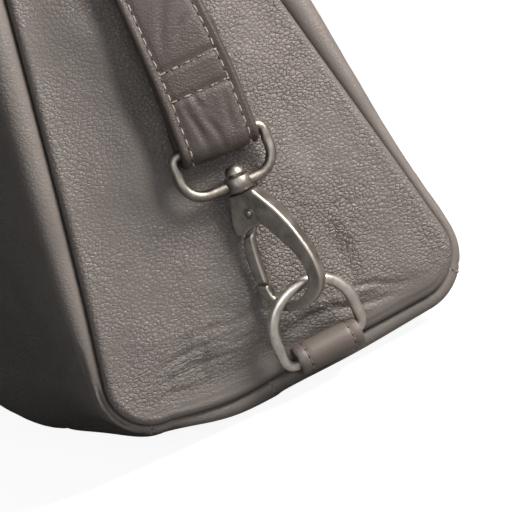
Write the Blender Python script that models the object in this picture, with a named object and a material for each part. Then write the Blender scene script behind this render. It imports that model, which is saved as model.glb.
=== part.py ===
"""Leather backpack handbag: a soft body with tapered sides, a zipped top, and one strap clipped to a D-ring
at the foot of each side. Metres, +Z up, the front faces -Y, the origin is under the middle of the base."""

from collections import namedtuple
from math import atan, cos, pi, radians, sin, sqrt, tan

import bmesh
import bpy
from mathutils import Matrix, Vector

MM = 0.001

# Body of the bag, measured from seam to seam
BASE_WIDTH = 284 * MM
RIM_WIDTH = 256 * MM
BASE_DEPTH = 130 * MM
RIM_DEPTH = 26 * MM
RIM_HEIGHT = 294 * MM
BASE_SEAM_HEIGHT = 9.4 * MM
BASE_LIFT = 4.2 * MM
CORNER_RADIUS = 15 * MM
SEAM_BOW = 2.8 * MM

# Leather and seams
LEATHER = 1.6 * MM
GAP = 0.3 * MM
SEAM_ALLOWANCE = 6 * MM
SEAM_TURN = radians(30)
ROLL_RADIUS = 4.4 * MM
SIDE_ROLL_RADIUS = 2.4 * MM
PANEL_BULGE = 20 * MM
SIDE_BULGE = 3 * MM
BASE_REACH = 40 * MM
CORNER_FILL = 1.6 * MM
BULGE_POWER = 3

# Strap, its keepers and the way that it runs
STRAP_WIDTH = 25 * MM
STRAP_END_WIDTH = 27 * MM
STRAP_THICKNESS = 3.0 * MM
STRAP_STANDOFF = 5 * MM
STRAP_LEAN = 1 * MM
STRAP_TAIL = 37 * MM
STRAP_ARCH_HEIGHT = 118 * MM
KEEPER_LENGTH = 18 * MM
KEEPER_WALL = 1.4 * MM
KEEPER_DROP = 22 * MM

# Metal fittings
D_RING_WIRE = 3.9 * MM
D_RING_WIDTH = 33 * MM
D_RING_HEIGHT = 28.5 * MM
D_RING_TILT = radians(15.5)
D_RING_ROLL = radians(4.5)
D_RING_SHIFT = 0.4 * MM
SWIVEL_RING_WIRE = 3.5 * MM
SWIVEL_RING_WIDTH = 35.4 * MM
SWIVEL_RING_HEIGHT = 18.8 * MM
SWIVEL_RING_SHIFT = 1.8 * MM
COLLAR_RADIUS = 4.3 * MM
COLLAR_HEIGHT = 5.2 * MM
POST_RADIUS = 1.9 * MM
POST_HEAD_RADIUS = 3.3 * MM
HOOK_LENGTH = 41.6 * MM
HOOK_TOP_THICKNESS = 6.0 * MM
HOOK_BEND_THICKNESS = 3.6 * MM
HOOK_CHAMFER = 0.6 * MM
HOOK_YAW = radians(45)
HOOK_OFFSET = 4 * MM
HOOK_STANDOFF = 13 * MM
HOOK_LEAN_OUT = 0.057
HOOK_LEAN_BACK = 0.078
GATE_THICKNESS = 3.2 * MM
GATE_ROOT_THICKNESS = 1.8 * MM
GATE_PIN_RADIUS = 0.9 * MM

# Leather tab that holds each D-ring
TAB_LENGTH = 22.8 * MM
TAB_WALL = 1.6 * MM
TAB_PLAY = 1.35 * MM
TAB_OFFSET = 8.6 * MM
TAB_RISE = 2.4 * MM

# Zip in the top
ZIP_SLOT = 11 * MM
ZIP_TAPE_THICKNESS = 0.8 * MM
ZIP_CHAIN_WIDTH = 5 * MM
ZIP_CHAIN_THICKNESS = 2.2 * MM
ZIP_DROP = 1.0 * MM
SLIDER_LENGTH = 12 * MM
SLIDER_WIDTH = 8.6 * MM
SLIDER_THICKNESS = 4.6 * MM
PULL_LENGTH = 32 * MM
PULL_WIDTH = 9 * MM
PULL_THICKNESS = 2.4 * MM

# Sections of the front and back panels, from the base (0) to the rim (1). Rolls are shares of ROLL_RADIUS,
# bulges of PANEL_BULGE, bows of SEAM_BOW, side rolls of SIDE_ROLL_RADIUS, allowances of SEAM_ALLOWANCE.
SideRow = namedtuple(
    "SideRow",
    "height front_roll back_roll front_bulge back_bulge front_bow back_bow side_front side_back allowance",
)
SIDE_ROWS = (
    SideRow(0.00, 0.42, 0.44, 0.64, 0.50, 0.00, 0.00, 1.0, 1.50, 1.0),
    SideRow(0.12, 0.82, 0.54, 0.90, 0.68, 0.50, 0.00, 1.0, 1.35, 1.0),
    SideRow(0.32, 1.00, 1.12, 1.00, 1.00, 0.88, 0.05, 1.0, 1.00, 1.0),
    SideRow(0.55, 1.00, 1.56, 1.00, 1.12, 1.00, 0.08, 1.0, 1.00, 1.0),
    SideRow(0.82, 0.80, 0.86, 0.66, 0.66, 0.50, 0.05, 1.0, 1.00, 1.0),
    SideRow(1.00, 0.50, 0.50, 0.25, 0.25, 0.00, 0.00, 1.0, 1.00, 0.36),
)
# End seam of the base, from the front corner (0) to the back corner (1): roll as a share of ROLL_RADIUS,
# lift as a share of BASE_LIFT, reach as a share of BASE_REACH
BaseRow = namedtuple("BaseRow", "across roll lift reach")
BASE_ROWS = (
    BaseRow(0.00, 0.52, 0.80, 2.4),
    BaseRow(0.12, 0.68, 0.22, 2.0),
    BaseRow(0.25, 0.84, -0.14, 1.5),
    BaseRow(0.45, 0.96, 0.00, 1.0),
    BaseRow(0.70, 0.92, 0.00, 1.0),
    BaseRow(1.00, 0.60, 0.10, 1.0),
)

# Broad dents of the leather: centre across and up as shares, reach as a share of the height, depth of PANEL_BULGE
Dent = namedtuple("Dent", "across up reach depth")
FRONT_DENTS = (Dent(-0.45, 0.42, 0.22, 0.16), Dent(0.38, 0.66, 0.20, 0.14), Dent(0.62, 0.22, 0.14, 0.10))
BACK_DENTS = (Dent(0.40, 0.38, 0.22, 0.14), Dent(-0.35, 0.64, 0.22, 0.15))
SIDE_DENTS = (Dent(0.45, 0.10, 0.07, 0.07), Dent(-0.30, 0.34, 0.12, 0.06), Dent(0.20, 0.62, 0.15, 0.08))

# Half outline of the snap hook in its own plane: across and down from the top of its body, as shares of its length
HookPoint = namedtuple("HookPoint", "across down")
HOOK_OUTER = (
    HookPoint(0.130, 0.000),
    HookPoint(0.184, 0.079),
    HookPoint(0.261, 0.197),
    HookPoint(0.319, 0.310),
    HookPoint(0.368, 0.439),
    HookPoint(0.402, 0.556),
    HookPoint(0.420, 0.650),
    HookPoint(0.423, 0.736),
    HookPoint(0.412, 0.820),
    HookPoint(0.370, 0.895),
    HookPoint(0.300, 0.958),
    HookPoint(0.210, 0.992),
    HookPoint(0.110, 1.003),
    HookPoint(0.010, 0.988),
    HookPoint(-0.070, 0.945),
    HookPoint(-0.125, 0.880),
    HookPoint(-0.163, 0.788),
    HookPoint(-0.162, 0.722),
)
HOOK_INNER = (
    HookPoint(-0.042, 0.752),
    HookPoint(-0.036, 0.844),
    HookPoint(0.006, 0.908),
    HookPoint(0.085, 0.934),
    HookPoint(0.168, 0.917),
    HookPoint(0.243, 0.868),
    HookPoint(0.288, 0.806),
    HookPoint(0.302, 0.745),
    HookPoint(0.300, 0.683),
    HookPoint(0.280, 0.609),
    HookPoint(0.244, 0.522),
    HookPoint(0.182, 0.418),
    HookPoint(0.129, 0.316),
)
HOOK_BODY = (
    HookPoint(0.090, 0.277),
    HookPoint(-0.017, 0.292),
    HookPoint(-0.072, 0.316),
    HookPoint(-0.125, 0.325),
    HookPoint(-0.150, 0.307),
    HookPoint(-0.157, 0.237),
    HookPoint(-0.129, 0.129),
    HookPoint(-0.098, 0.000),
)
GATE_PIVOT = HookPoint(0.022, 0.170)
GATE_RIGHT = (HookPoint(-0.054, 0.738), HookPoint(-0.034, 0.655), HookPoint(-0.026, 0.500), HookPoint(-0.024, 0.335))
GATE_LEFT = (HookPoint(-0.122, 0.345), HookPoint(-0.159, 0.480), HookPoint(-0.166, 0.640), HookPoint(-0.160, 0.706))

Station = namedtuple("Station", "y z out_y out_z half_width roll side_roll level reach allowance")

COLOURS = {
    "leather": (0.150, 0.128, 0.112, 1.0),
    "strap_leather": (0.100, 0.083, 0.075, 1.0),
    "metal": (0.42, 0.40, 0.37, 1.0),
    "zip_tape": (0.060, 0.052, 0.046, 1.0),
}


def clear_scene():
    for thing in list(bpy.data.objects):
        bpy.data.objects.remove(thing)


def material(name, colour, roughness, metallic):
    made = bpy.data.materials.new(name)
    made.use_nodes = True
    shader = made.node_tree.nodes["Principled BSDF"]
    shader.inputs["Base Color"].default_value = COLOURS[colour]
    shader.inputs["Roughness"].default_value = roughness
    shader.inputs["Metallic"].default_value = metallic
    return made


def smooth(share):
    share = min(max(share, 0.0), 1.0)
    return share * share * (3 - 2 * share)


def read_rows(rows, place, column):
    """Value of a column at a place, on a smooth curve through the rows. The first column is the place."""
    places = [row[0] for row in rows]
    values = [getattr(row, column) for row in rows]
    slopes = []
    for i in range(len(rows)):
        before, after = max(i - 1, 0), min(i + 1, len(rows) - 1)
        slopes.append((values[after] - values[before]) / (places[after] - places[before]))
    for i in range(len(rows) - 1):
        if place <= places[i + 1] or i == len(rows) - 2:
            span = places[i + 1] - places[i]
            t = min(max((place - places[i]) / span, 0.0), 1.0)
            rise = values[i + 1] - values[i]
            return (
                values[i]
                + rise * smooth(t)
                + span * (t * (1 - t) ** 2 * slopes[i] - t * t * (1 - t) * slopes[i + 1])
            )
    return values[-1]


# Outline of the side, seen along X: down the front, round the base and up the back


def side_lean():
    return atan((BASE_DEPTH - RIM_DEPTH) / 2 / (RIM_HEIGHT - BASE_SEAM_HEIGHT))


def corner_tangent():
    return CORNER_RADIUS * tan((pi / 2 + side_lean()) / 2)


def half_width_at(z):
    share = (z - BASE_SEAM_HEIGHT) / (RIM_HEIGHT - BASE_SEAM_HEIGHT)
    return (BASE_WIDTH + (RIM_WIDTH - BASE_WIDTH) * share) / 2


def base_seam(share):
    """Height of the base's end seam, from the front corner (0) to the back corner (1)."""
    return BASE_SEAM_HEIGHT + BASE_LIFT * read_rows(BASE_ROWS, share, "lift")


def wall_station(face, share):
    """Station on the front (face -1) or back (face 1) edge, share 0 where the corner starts and 1 at the rim."""
    lean = side_lean()
    side = "front" if face < 0 else "back"
    start_y = BASE_DEPTH / 2 - corner_tangent() * sin(lean)
    start_z = base_seam(0.0 if face < 0 else 1.0) + corner_tangent() * cos(lean)
    y = start_y + (RIM_DEPTH / 2 - start_y) * share - SEAM_BOW * read_rows(SIDE_ROWS, share, side + "_bow")
    z = start_z + (RIM_HEIGHT - start_z) * share
    half_width = half_width_at(z)
    return Station(
        face * y,
        z,
        face * cos(lean),
        sin(lean),
        half_width,
        ROLL_RADIUS * read_rows(SIDE_ROWS, share, side + "_roll"),
        SIDE_ROLL_RADIUS * read_rows(SIDE_ROWS, share, "side_" + side),
        PANEL_BULGE * read_rows(SIDE_ROWS, share, side + "_bulge"),
        half_width,
        SEAM_ALLOWANCE * read_rows(SIDE_ROWS, share, "allowance"),
    )


def base_station(share):
    """Station on the base's end seam, from the front corner (0) to the back corner (1)."""
    reach = BASE_DEPTH / 2 - corner_tangent()
    z = base_seam(share)
    roll = ROLL_RADIUS * read_rows(BASE_ROWS, share, "roll")
    rise_reach = BASE_REACH * read_rows(BASE_ROWS, share, "reach")
    y = reach * (2 * share - 1)
    return Station(y, z, 0.0, -1.0, half_width_at(z), roll, SIDE_ROLL_RADIUS, z, rise_reach, SEAM_ALLOWANCE)


def corner_station(face, share):
    """Station on a rounded lower corner, share 0 at the wall and 1 at the base."""
    wall, base = wall_station(face, 0.0), base_station(0.0 if face < 0 else 1.0)
    start = pi - side_lean()
    angle = start + (1.5 * pi - start) * share
    centre_y = BASE_DEPTH / 2 - corner_tangent()
    z = base.z + CORNER_RADIUS * (1 + sin(angle))
    y = centre_y - CORNER_RADIUS * cos(angle)
    mix = smooth(share)
    roll, side_roll, level, reach, allowance = [a + (b - a) * mix for a, b in zip(wall[5:], base[5:])]
    floor_level = (base.z + CORNER_RADIUS) / max(-sin(angle), 0.2) - CORNER_RADIUS
    level = min(level + CORNER_FILL * sin(pi * share), floor_level)
    half_width = half_width_at(z)
    return Station(face * y, z, -face * cos(angle), sin(angle), half_width, roll, side_roll, level, reach, allowance)


def wall_shares(rows):
    """Heights that are closer together near the base and the rim."""
    return [0.5 - 0.5 * cos(pi * i / rows) for i in range(rows + 1)]


def panel_stations(face, wall_rows, corner_rows):
    """From the rim down to where the base starts."""
    wall = [wall_station(face, share) for share in reversed(wall_shares(wall_rows))]
    return wall + [corner_station(face, i / corner_rows) for i in range(1, corner_rows + 1)]


def base_stations(rows):
    return [base_station(i / rows) for i in range(rows + 1)]


# Skin of the panels


def dent_depth(dents, across, up):
    depth = 0.0
    for dent in dents:
        distance = sqrt((across - dent.across) ** 2 / 2 + (up - dent.up) ** 2) / dent.reach
        depth += dent.depth * PANEL_BULGE * smooth(1 - distance)
    return depth


def panel_section(station, face_shares, roll_steps):
    """Half section of a panel as (x, out, normal) from the allowance's inner edge to the middle of the bag."""
    along = Vector((-cos(SEAM_TURN), -sin(SEAM_TURN)))
    off = Vector((-sin(SEAM_TURN), cos(SEAM_TURN)))
    seam = Vector((station.half_width, 0)) + off * GAP / 2
    centre = seam + off * station.roll
    slope = 0.0
    for _ in range(4):
        rise = station.level - (centre.y + station.roll * cos(slope))
        slope = atan(BULGE_POWER * rise / station.reach)
    end = Vector((centre.x + station.roll * sin(slope), centre.y + station.roll * cos(slope)))
    rise = station.level - end.y
    points = [(seam + along * station.allowance, -off)]
    for i in range(roll_steps + 1):
        turn = SEAM_TURN + (pi - slope - SEAM_TURN) * i / roll_steps
        arm = Vector((sin(turn), -cos(turn)))
        points.append((centre + arm * station.roll, arm))
    for share in face_shares:
        inward = end.x * share
        left = 1 - min(inward / station.reach, 1.0)
        tilt = atan(BULGE_POWER * rise / station.reach * left ** (BULGE_POWER - 1))
        points.append((Vector((end.x - inward, end.y + rise * (1 - left**BULGE_POWER))), Vector((sin(tilt), cos(tilt)))))
    return points


def panel_rows(stations, dents, face_shares, roll_steps):
    """Outer and inner points of a whole panel, one row for each station, from +X to -X."""
    outer, inner = [], []
    for station in stations:
        half = panel_section(station, face_shares, roll_steps)
        mirrored = [(Vector((-p.x, p.y)), Vector((-n.x, n.y))) for p, n in reversed(half[:-1])]
        up = (station.z - BASE_SEAM_HEIGHT) / (RIM_HEIGHT - BASE_SEAM_HEIGHT)
        outer_row, inner_row = [], []
        for point, normal in half + mirrored:
            depth = dent_depth(dents, point.x / station.half_width, up)
            for row, inset in ((outer_row, 0.0), (inner_row, LEATHER)):
                x = point.x - normal.x * inset
                out = point.y - normal.y * inset - depth
                row.append(Vector((x, station.y + station.out_y * out, station.z + station.out_z * out)))
        outer.append(outer_row)
        inner.append(inner_row)
    return outer, inner


def make_object(name, bm, finish, smooth_angle=40):
    bmesh.ops.recalc_face_normals(bm, faces=bm.faces)
    mesh = bpy.data.meshes.new(name)
    bm.to_mesh(mesh)
    bm.free()
    mesh.shade_smooth()
    mesh.set_sharp_from_angle(angle=radians(smooth_angle))
    thing = bpy.data.objects.new(name, mesh)
    thing.data.materials.append(finish)
    bpy.context.scene.collection.objects.link(thing)
    return thing


def shell(name, outer, inner, finish):
    """Closed wall between two grids of points."""
    bm = bmesh.new()
    grids = [[[bm.verts.new(p) for p in row] for row in grid] for grid in (outer, inner)]
    rows, columns = len(outer), len(outer[0])
    for grid in grids:
        for i in range(rows - 1):
            for j in range(columns - 1):
                bm.faces.new((grid[i][j], grid[i][j + 1], grid[i + 1][j + 1], grid[i + 1][j]))
    border = [(0, j) for j in range(columns)] + [(i, columns - 1) for i in range(1, rows)]
    border += [(rows - 1, j) for j in range(columns - 2, -1, -1)] + [(i, 0) for i in range(rows - 2, 0, -1)]
    for (i, j), (k, l) in zip(border, border[1:] + border[:1]):
        bm.faces.new((grids[0][i][j], grids[0][k][l], grids[1][k][l], grids[1][i][j]))
    return make_object(name, bm, finish)


def loft(name, loops, finish, closed=False, smooth_angle=40):
    """Solid through loops of equal count. A path that isn't closed gets flat ends."""
    bm = bmesh.new()
    rings = [[bm.verts.new(p) for p in loop] for loop in loops]
    count = len(rings[0])
    pairs = list(zip(rings, rings[1:]))
    if closed:
        pairs.append((rings[-1], rings[0]))
    else:
        bm.faces.new(rings[0])
        bm.faces.new(rings[-1])
    for first, second in pairs:
        for i in range(count):
            j = (i + 1) % count
            bm.faces.new((first[i], first[j], second[j], second[i]))
    return make_object(name, bm, finish, smooth_angle)


def tube_slab(name, outer, inner, finish):
    """Solid between two closed outlines, each given at both ends: outer[0], outer[1], inner[0], inner[1]."""
    bm = bmesh.new()
    far, near = [[bm.verts.new(p) for p in loop] for loop in outer]
    far_hole, near_hole = [[bm.verts.new(p) for p in loop] for loop in inner]
    count = len(far)
    for i in range(count):
        j = (i + 1) % count
        bm.faces.new((far[i], far[j], near[j], near[i]))
        bm.faces.new((far_hole[i], far_hole[j], near_hole[j], near_hole[i]))
        bm.faces.new((far[i], far[j], far_hole[j], far_hole[i]))
        bm.faces.new((near[i], near[j], near_hole[j], near_hole[i]))
    return make_object(name, bm, finish)


def mirrored_none(points):
    return points


def mirrored_x(points):
    return [Vector((-p.x, p.y, p.z)) for p in points]


# Body panels

WALL_ROWS = 10
CORNER_ROWS = 6
BASE_SEAM_ROWS = 6
ROLL_STEPS = 4
FACE_SHARES = (0.05, 0.13, 0.24, 0.38, 0.56, 0.76, 1.0)
BASE_FACE_SHARES = (0.05, 0.12, 0.20, 0.30, 0.60, 1.0)
SIDE_COLUMN_ROWS = 3


def build_panels(leather):
    front = panel_stations(-1, WALL_ROWS, CORNER_ROWS)
    shell("front_panel", *panel_rows(front, FRONT_DENTS, FACE_SHARES, ROLL_STEPS), leather)
    back = panel_stations(1, WALL_ROWS, CORNER_ROWS)
    shell("back_panel", *panel_rows(back, BACK_DENTS, FACE_SHARES, ROLL_STEPS), leather)
    base = [pull_in(station, GAP) for station in base_stations(BASE_SEAM_ROWS)]
    shell("base_panel", *panel_rows(base, (), BASE_FACE_SHARES, ROLL_STEPS), leather)


def pull_in(station, gap):
    """The base's stations, drawn in at both corners so that it clears the front and back."""
    reach = BASE_DEPTH / 2 - corner_tangent()
    return station._replace(y=station.y * (reach - gap) / reach)


def side_ring(station, roll_steps):
    """Points of the side panel's edge, from the allowance's inner edge to where its face starts."""
    along = Vector((-cos(SEAM_TURN), -sin(SEAM_TURN)))
    off = Vector((-sin(SEAM_TURN), cos(SEAM_TURN)))
    seam = Vector((station.half_width, 0)) - off * GAP / 2
    centre = seam - off * station.side_roll
    points = [seam + along * station.allowance]
    for i in range(roll_steps + 1):
        turn = (pi / 2 + SEAM_TURN) * i / roll_steps - SEAM_TURN
        points.append(centre + Vector((sin(turn), cos(turn))) * station.side_roll)
    return [Vector((p.x, station.y + station.out_y * p.y, station.z + station.out_z * p.y)) for p in points]


def side_face_x(y, z):
    """How far out the side panel's face lies, with its bulge and dents."""
    up = (z - BASE_SEAM_HEIGHT) / (RIM_HEIGHT - BASE_SEAM_HEIGHT)
    depth = BASE_DEPTH / 2 + (RIM_DEPTH - BASE_DEPTH) / 2 * up
    across = y / depth
    flat = half_width_at(z) + SIDE_ROLL_RADIUS * (1 + sin(SEAM_TURN))
    swell = SIDE_BULGE * max(1 - across**2, 0.0) * sin(pi * min(max(up, 0.0), 1.0) ** 0.6)
    return flat + swell - dent_depth(SIDE_DENTS, across, up)


def side_patch(border, columns, rows):
    """Grid of face points inside a border loop that runs down the front, along the base and up the back."""
    front, base, back = border[: rows + 1], border[rows : rows + columns + 1], border[rows + columns :]
    back = list(reversed(back))
    grid = []
    for i in range(rows + 1):
        v = i / rows
        row = []
        for j in range(columns + 1):
            u = j / columns
            rim = front[0].lerp(back[0], u)
            ruled = front[i].lerp(back[i], u) + rim.lerp(base[j], v)
            point = ruled - rim.lerp(front[-1].lerp(back[-1], u), v)
            if 0 < j < columns and i < rows:
                edge = min(u, 1 - u) * 4 * min(1.0, (1 - v) * 5)
                flush = front[i].lerp(back[i], u).x
                point.x = flush + (side_face_x(point.y, point.z) - flush) * smooth(edge)
            row.append(point)
        grid.append(row)
    return grid


def build_side(name, face, leather):
    corner = [corner_station(-1, i / CORNER_ROWS) for i in range(CORNER_ROWS + 1)]
    back_corner = [corner_station(1, i / CORNER_ROWS) for i in range(CORNER_ROWS + 1)]
    wall = [wall_station(-1, share) for share in reversed(wall_shares(WALL_ROWS))]
    back_wall = [wall_station(1, share) for share in wall_shares(WALL_ROWS)]
    base = base_stations(BASE_SEAM_ROWS)
    stations = wall[:-1] + corner[:-1] + base + list(reversed(back_corner))[1:] + back_wall[1:]
    rings = [side_ring(station, SIDE_COLUMN_ROWS) for station in stations]
    if face < 0:
        rings = [mirrored_x(ring) for ring in rings]
    rows = WALL_ROWS + CORNER_ROWS // 2
    columns = len(stations) - 1 - 2 * rows
    border = [ring[-1] for ring in rings]
    if face < 0:
        grid = side_patch(mirrored_x(border), columns, rows)
        grid = [mirrored_x(row) for row in grid]
    else:
        grid = side_patch(border, columns, rows)
    bm = bmesh.new()
    patch = [[bm.verts.new(p) for p in row] for row in grid]
    for i in range(rows):
        for j in range(columns):
            bm.faces.new((patch[i][j], patch[i][j + 1], patch[i + 1][j + 1], patch[i + 1][j]))
    loop = [patch[i][0] for i in range(rows + 1)] + patch[rows][1:-1]
    loop += [patch[i][columns] for i in range(rows, -1, -1)]
    edges = [[bm.verts.new(p) for p in ring[:-1]] + [vert] for ring, vert in zip(rings, loop)]
    for first, second in zip(edges, edges[1:]):
        for i in range(len(first) - 1):
            bm.faces.new((first[i], first[i + 1], second[i + 1], second[i]))
    bmesh.ops.recalc_face_normals(bm, faces=bm.faces)
    middle = patch[rows // 2][columns // 2]
    if middle.normal.x * face < 0:
        bmesh.ops.reverse_faces(bm, faces=bm.faces)
    mesh = bpy.data.meshes.new(name)
    bm.to_mesh(mesh)
    bm.free()
    mesh.shade_smooth()
    thing = bpy.data.objects.new(name, mesh)
    thing.data.materials.append(leather)
    bpy.context.scene.collection.objects.link(thing)
    wall_maker = thing.modifiers.new("leather", "SOLIDIFY")
    wall_maker.thickness = LEATHER
    wall_maker.offset = -1
    wall_maker.use_even_offset = True


# Zip


def rim_outline(inset):
    """Points of the back panel's inner face along the rim, from +X to -X, up to an inset from its ends."""
    rim = wall_station(1, 1.0)
    inner = panel_rows([rim], (), FACE_SHARES, ROLL_STEPS)[1][0]
    return [(p.x, p.y - GAP) for p in inner[ROLL_STEPS + 2 : -ROLL_STEPS - 2] if abs(p.x) < rim.half_width - inset]


def slab(name, outline, bottom, top, finish, smooth_angle=40):
    return loft(name, [[Vector((x, y, z)) for x, y in outline] for z in (bottom, top)], finish, False, smooth_angle)


def build_zip(leather, tape_cloth, metal):
    top = RIM_HEIGHT - ZIP_DROP
    end = RIM_WIDTH / 2 + SIDE_ROLL_RADIUS - LEATHER
    inset = SEAM_ALLOWANCE * SIDE_ROWS[-1].allowance + LEATHER + GAP
    narrow = RIM_DEPTH / 2 - inset
    slot = ZIP_SLOT / 2
    edge = rim_outline(inset)
    outline = [(end, slot), (end, narrow), (edge[0][0], narrow)] + edge
    outline += [(edge[-1][0], narrow), (-end, narrow), (-end, slot)]
    for name, face in (("zip_facing_front", -1), ("zip_facing_back", 1)):
        slab(name, [(x, face * y) for x, y in outline], top - LEATHER, top, leather)

    tape_half = slot - GAP
    chain_half = ZIP_CHAIN_WIDTH / 2
    middle = top - LEATHER / 2
    thin, thick = ZIP_TAPE_THICKNESS / 2, ZIP_CHAIN_THICKNESS / 2
    section = [(tape_half, -thin), (tape_half, thin), (chain_half, thin), (chain_half * 0.8, thick)]
    section += [(-y, z) for y, z in reversed(section[1:])] + [(-tape_half, -thin)]
    section += [(-chain_half, -thin), (-chain_half * 0.8, -thick), (chain_half * 0.8, -thick), (chain_half, -thin)]
    loft("zip_tape", [[Vector((x, y, middle + z)) for y, z in section] for x in (-end, end)], tape_cloth)

    seat = middle + thick + GAP
    build_slider(metal, seat)
    build_pull(leather, seat)


def slider_place():
    return RIM_WIDTH / 2 - 26 * MM


def build_slider(metal, seat):
    """Slider body with the bridge that its pull hangs on, as one casting."""
    centre = slider_place()
    half_length, half_width = SLIDER_LENGTH / 2, SLIDER_WIDTH / 2
    plate = SLIDER_THICKNESS * 0.4
    waist = half_width * 0.72
    outline = [(half_length, waist), (half_length * 0.4, half_width), (-half_length * 0.8, half_width)]
    outline += [(-half_length, waist), (-half_length, -waist), (-half_length * 0.8, -half_width)]
    outline += [(half_length * 0.4, -half_width), (half_length, -waist)]
    body = slab("zip_slider", [(centre + x, y) for x, y in outline], seat, seat + plate, metal)
    bridge_half = half_length * 0.62
    bar = 1.3 * MM
    rise = PULL_THICKNESS + 2 * GAP + bar
    low = seat + plate * 0.5
    high = seat + plate + rise
    profile = [(bridge_half, low), (bridge_half, high - bar), (bridge_half - bar, high), (bar - bridge_half, high)]
    profile += [(-bridge_half, high - bar), (-bridge_half, low), (bar - bridge_half, low)]
    profile += [(bar - bridge_half, high - bar), (bridge_half - bar, high - bar), (bridge_half - bar, low)]
    loops = [[Vector((centre + x, y, z)) for x, z in profile] for y in (-bar, bar)]
    unite(body, loft("slider_bridge", loops, metal))


def unite(body, other):
    """Joins other to body for good, and removes other."""
    boolean(body, other, "UNION")


def cut(body, cutter):
    boolean(body, cutter, "DIFFERENCE")


def boolean(body, other, operation):
    step = body.modifiers.new("step", "BOOLEAN")
    step.operation = operation
    step.solver = "EXACT"
    step.object = other
    evaluated = body.evaluated_get(bpy.context.evaluated_depsgraph_get())
    made = bpy.data.meshes.new_from_object(evaluated)
    body.modifiers.remove(step)
    body.data = made
    bpy.data.objects.remove(other)
    made.shade_smooth()
    made.set_sharp_from_angle(angle=radians(35))


def build_pull(leather, seat):
    """Leather pull that lies along the zip, with a slot for the slider's bridge."""
    centre = slider_place()
    plate = SLIDER_THICKNESS * 0.4
    bottom = seat + plate + GAP
    half = PULL_WIDTH / 2
    hole_half = 1.3 * MM + 2 * GAP
    hole_long = SLIDER_LENGTH / 2 * 0.62 - 1.3 * MM - GAP
    right = centre + hole_long
    outer = [(right, half * 0.6), (right - half * 0.4, half), (right - PULL_LENGTH + half, half)]
    outer += [(right - PULL_LENGTH, half * 0.5), (right - PULL_LENGTH, -half * 0.5)]
    outer += [(right - PULL_LENGTH + half, -half), (right - half * 0.4, -half), (right, -half * 0.6)]
    web = centre - SLIDER_LENGTH / 2 * 0.62 - GAP
    far = web - 1.6 * MM
    mid = right - 1.5 * MM
    hole = [(mid, hole_half * 0.6), (mid - 0.3 * MM, hole_half), (far, hole_half), (far - 0.3 * MM, hole_half * 0.5)]
    hole += [(x, -y) for x, y in reversed(hole)]
    loops = [[[Vector((x, y, z)) for x, y in ring] for z in (bottom, bottom + PULL_THICKNESS)] for ring in (outer, hole)]
    tube_slab("zip_pull", loops[0], loops[1], leather)


# Fittings at the foot of each side. Everything here is made for the +X side and mirrored for the other.


def frame_matrix(origin, across, up):
    """Left-handed matrix of the +X side: its X runs to the back, its Y outwards and its Z up."""
    across, up = across.normalized(), up.normalized()
    out = across.cross(up)
    turn = Matrix((across, out, up)).transposed()
    return Matrix.Translation(origin) @ turn.to_4x4()


def tab_centre():
    outer = D_RING_WIRE / 2 + TAB_PLAY + TAB_WALL
    z = BASE_SEAM_HEIGHT + TAB_RISE
    return Vector((side_face_x(TAB_OFFSET, z + outer) + GAP + outer, TAB_OFFSET, z))


def d_ring_frame():
    """The ring leans outwards, and rolls a little to the front, where the strap pulls it."""
    across = Vector((0, cos(D_RING_ROLL), sin(D_RING_ROLL)))
    up = Vector((sin(D_RING_TILT), -sin(D_RING_ROLL) * cos(D_RING_TILT), cos(D_RING_ROLL) * cos(D_RING_TILT)))
    return frame_matrix(tab_centre() - Vector((0, D_RING_SHIFT, 0)), across, up)


def hook_top():
    """Where the hook's body starts, under the swivel."""
    z = BASE_SEAM_HEIGHT + HOOK_LENGTH * 1.45
    return Vector((half_width_at(z) + HOOK_STANDOFF, HOOK_OFFSET, z))


def hanging_frame(yaw):
    """Frame of the swivel, which leans with the strap. A yaw turns the hook's back edge outwards about it."""
    up = Vector((-HOOK_LEAN_OUT, HOOK_LEAN_BACK, 1)).normalized()
    across = Vector((0, 1, -up.y)).normalized()
    across = Matrix.Rotation(-yaw, 3, up) @ across
    return frame_matrix(hook_top(), across, up)


def ring_tube(path, radius, sides):
    """Loops round a closed path of points in the XZ plane."""
    normal = Vector((0, 1, 0))
    angles = [2 * pi * k / sides for k in range(sides)]
    loops = []
    for i, point in enumerate(path):
        side = (path[(i + 1) % len(path)] - path[i - 1]).normalized().cross(normal)
        loops.append([point + (side * cos(a) + normal * sin(a)) * radius for a in angles])
    return loops


def rounded_path(corners):
    """Closed path through (x, z, radius, steps) corners, each rounded by an arc."""
    path = []
    for i, (x, z, radius, steps) in enumerate(corners):
        here = Vector((x, 0, z))
        before = Vector((corners[i - 1][0], 0, corners[i - 1][1])) - here
        after = Vector((corners[(i + 1) % len(corners)][0], 0, corners[(i + 1) % len(corners)][1])) - here
        half_angle = before.angle(after) / 2
        centre = here + (before.normalized() + after.normalized()).normalized() * (radius / sin(half_angle))
        start = here + before.normalized() * (radius / tan(half_angle)) - centre
        finish = here + after.normalized() * (radius / tan(half_angle)) - centre
        sweep = pi - 2 * half_angle
        for k in range(steps + 1):
            turn = sweep * k / steps
            path.append(centre + (start * sin(sweep - turn) + finish * sin(turn)) / sin(sweep))
    return path


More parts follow.
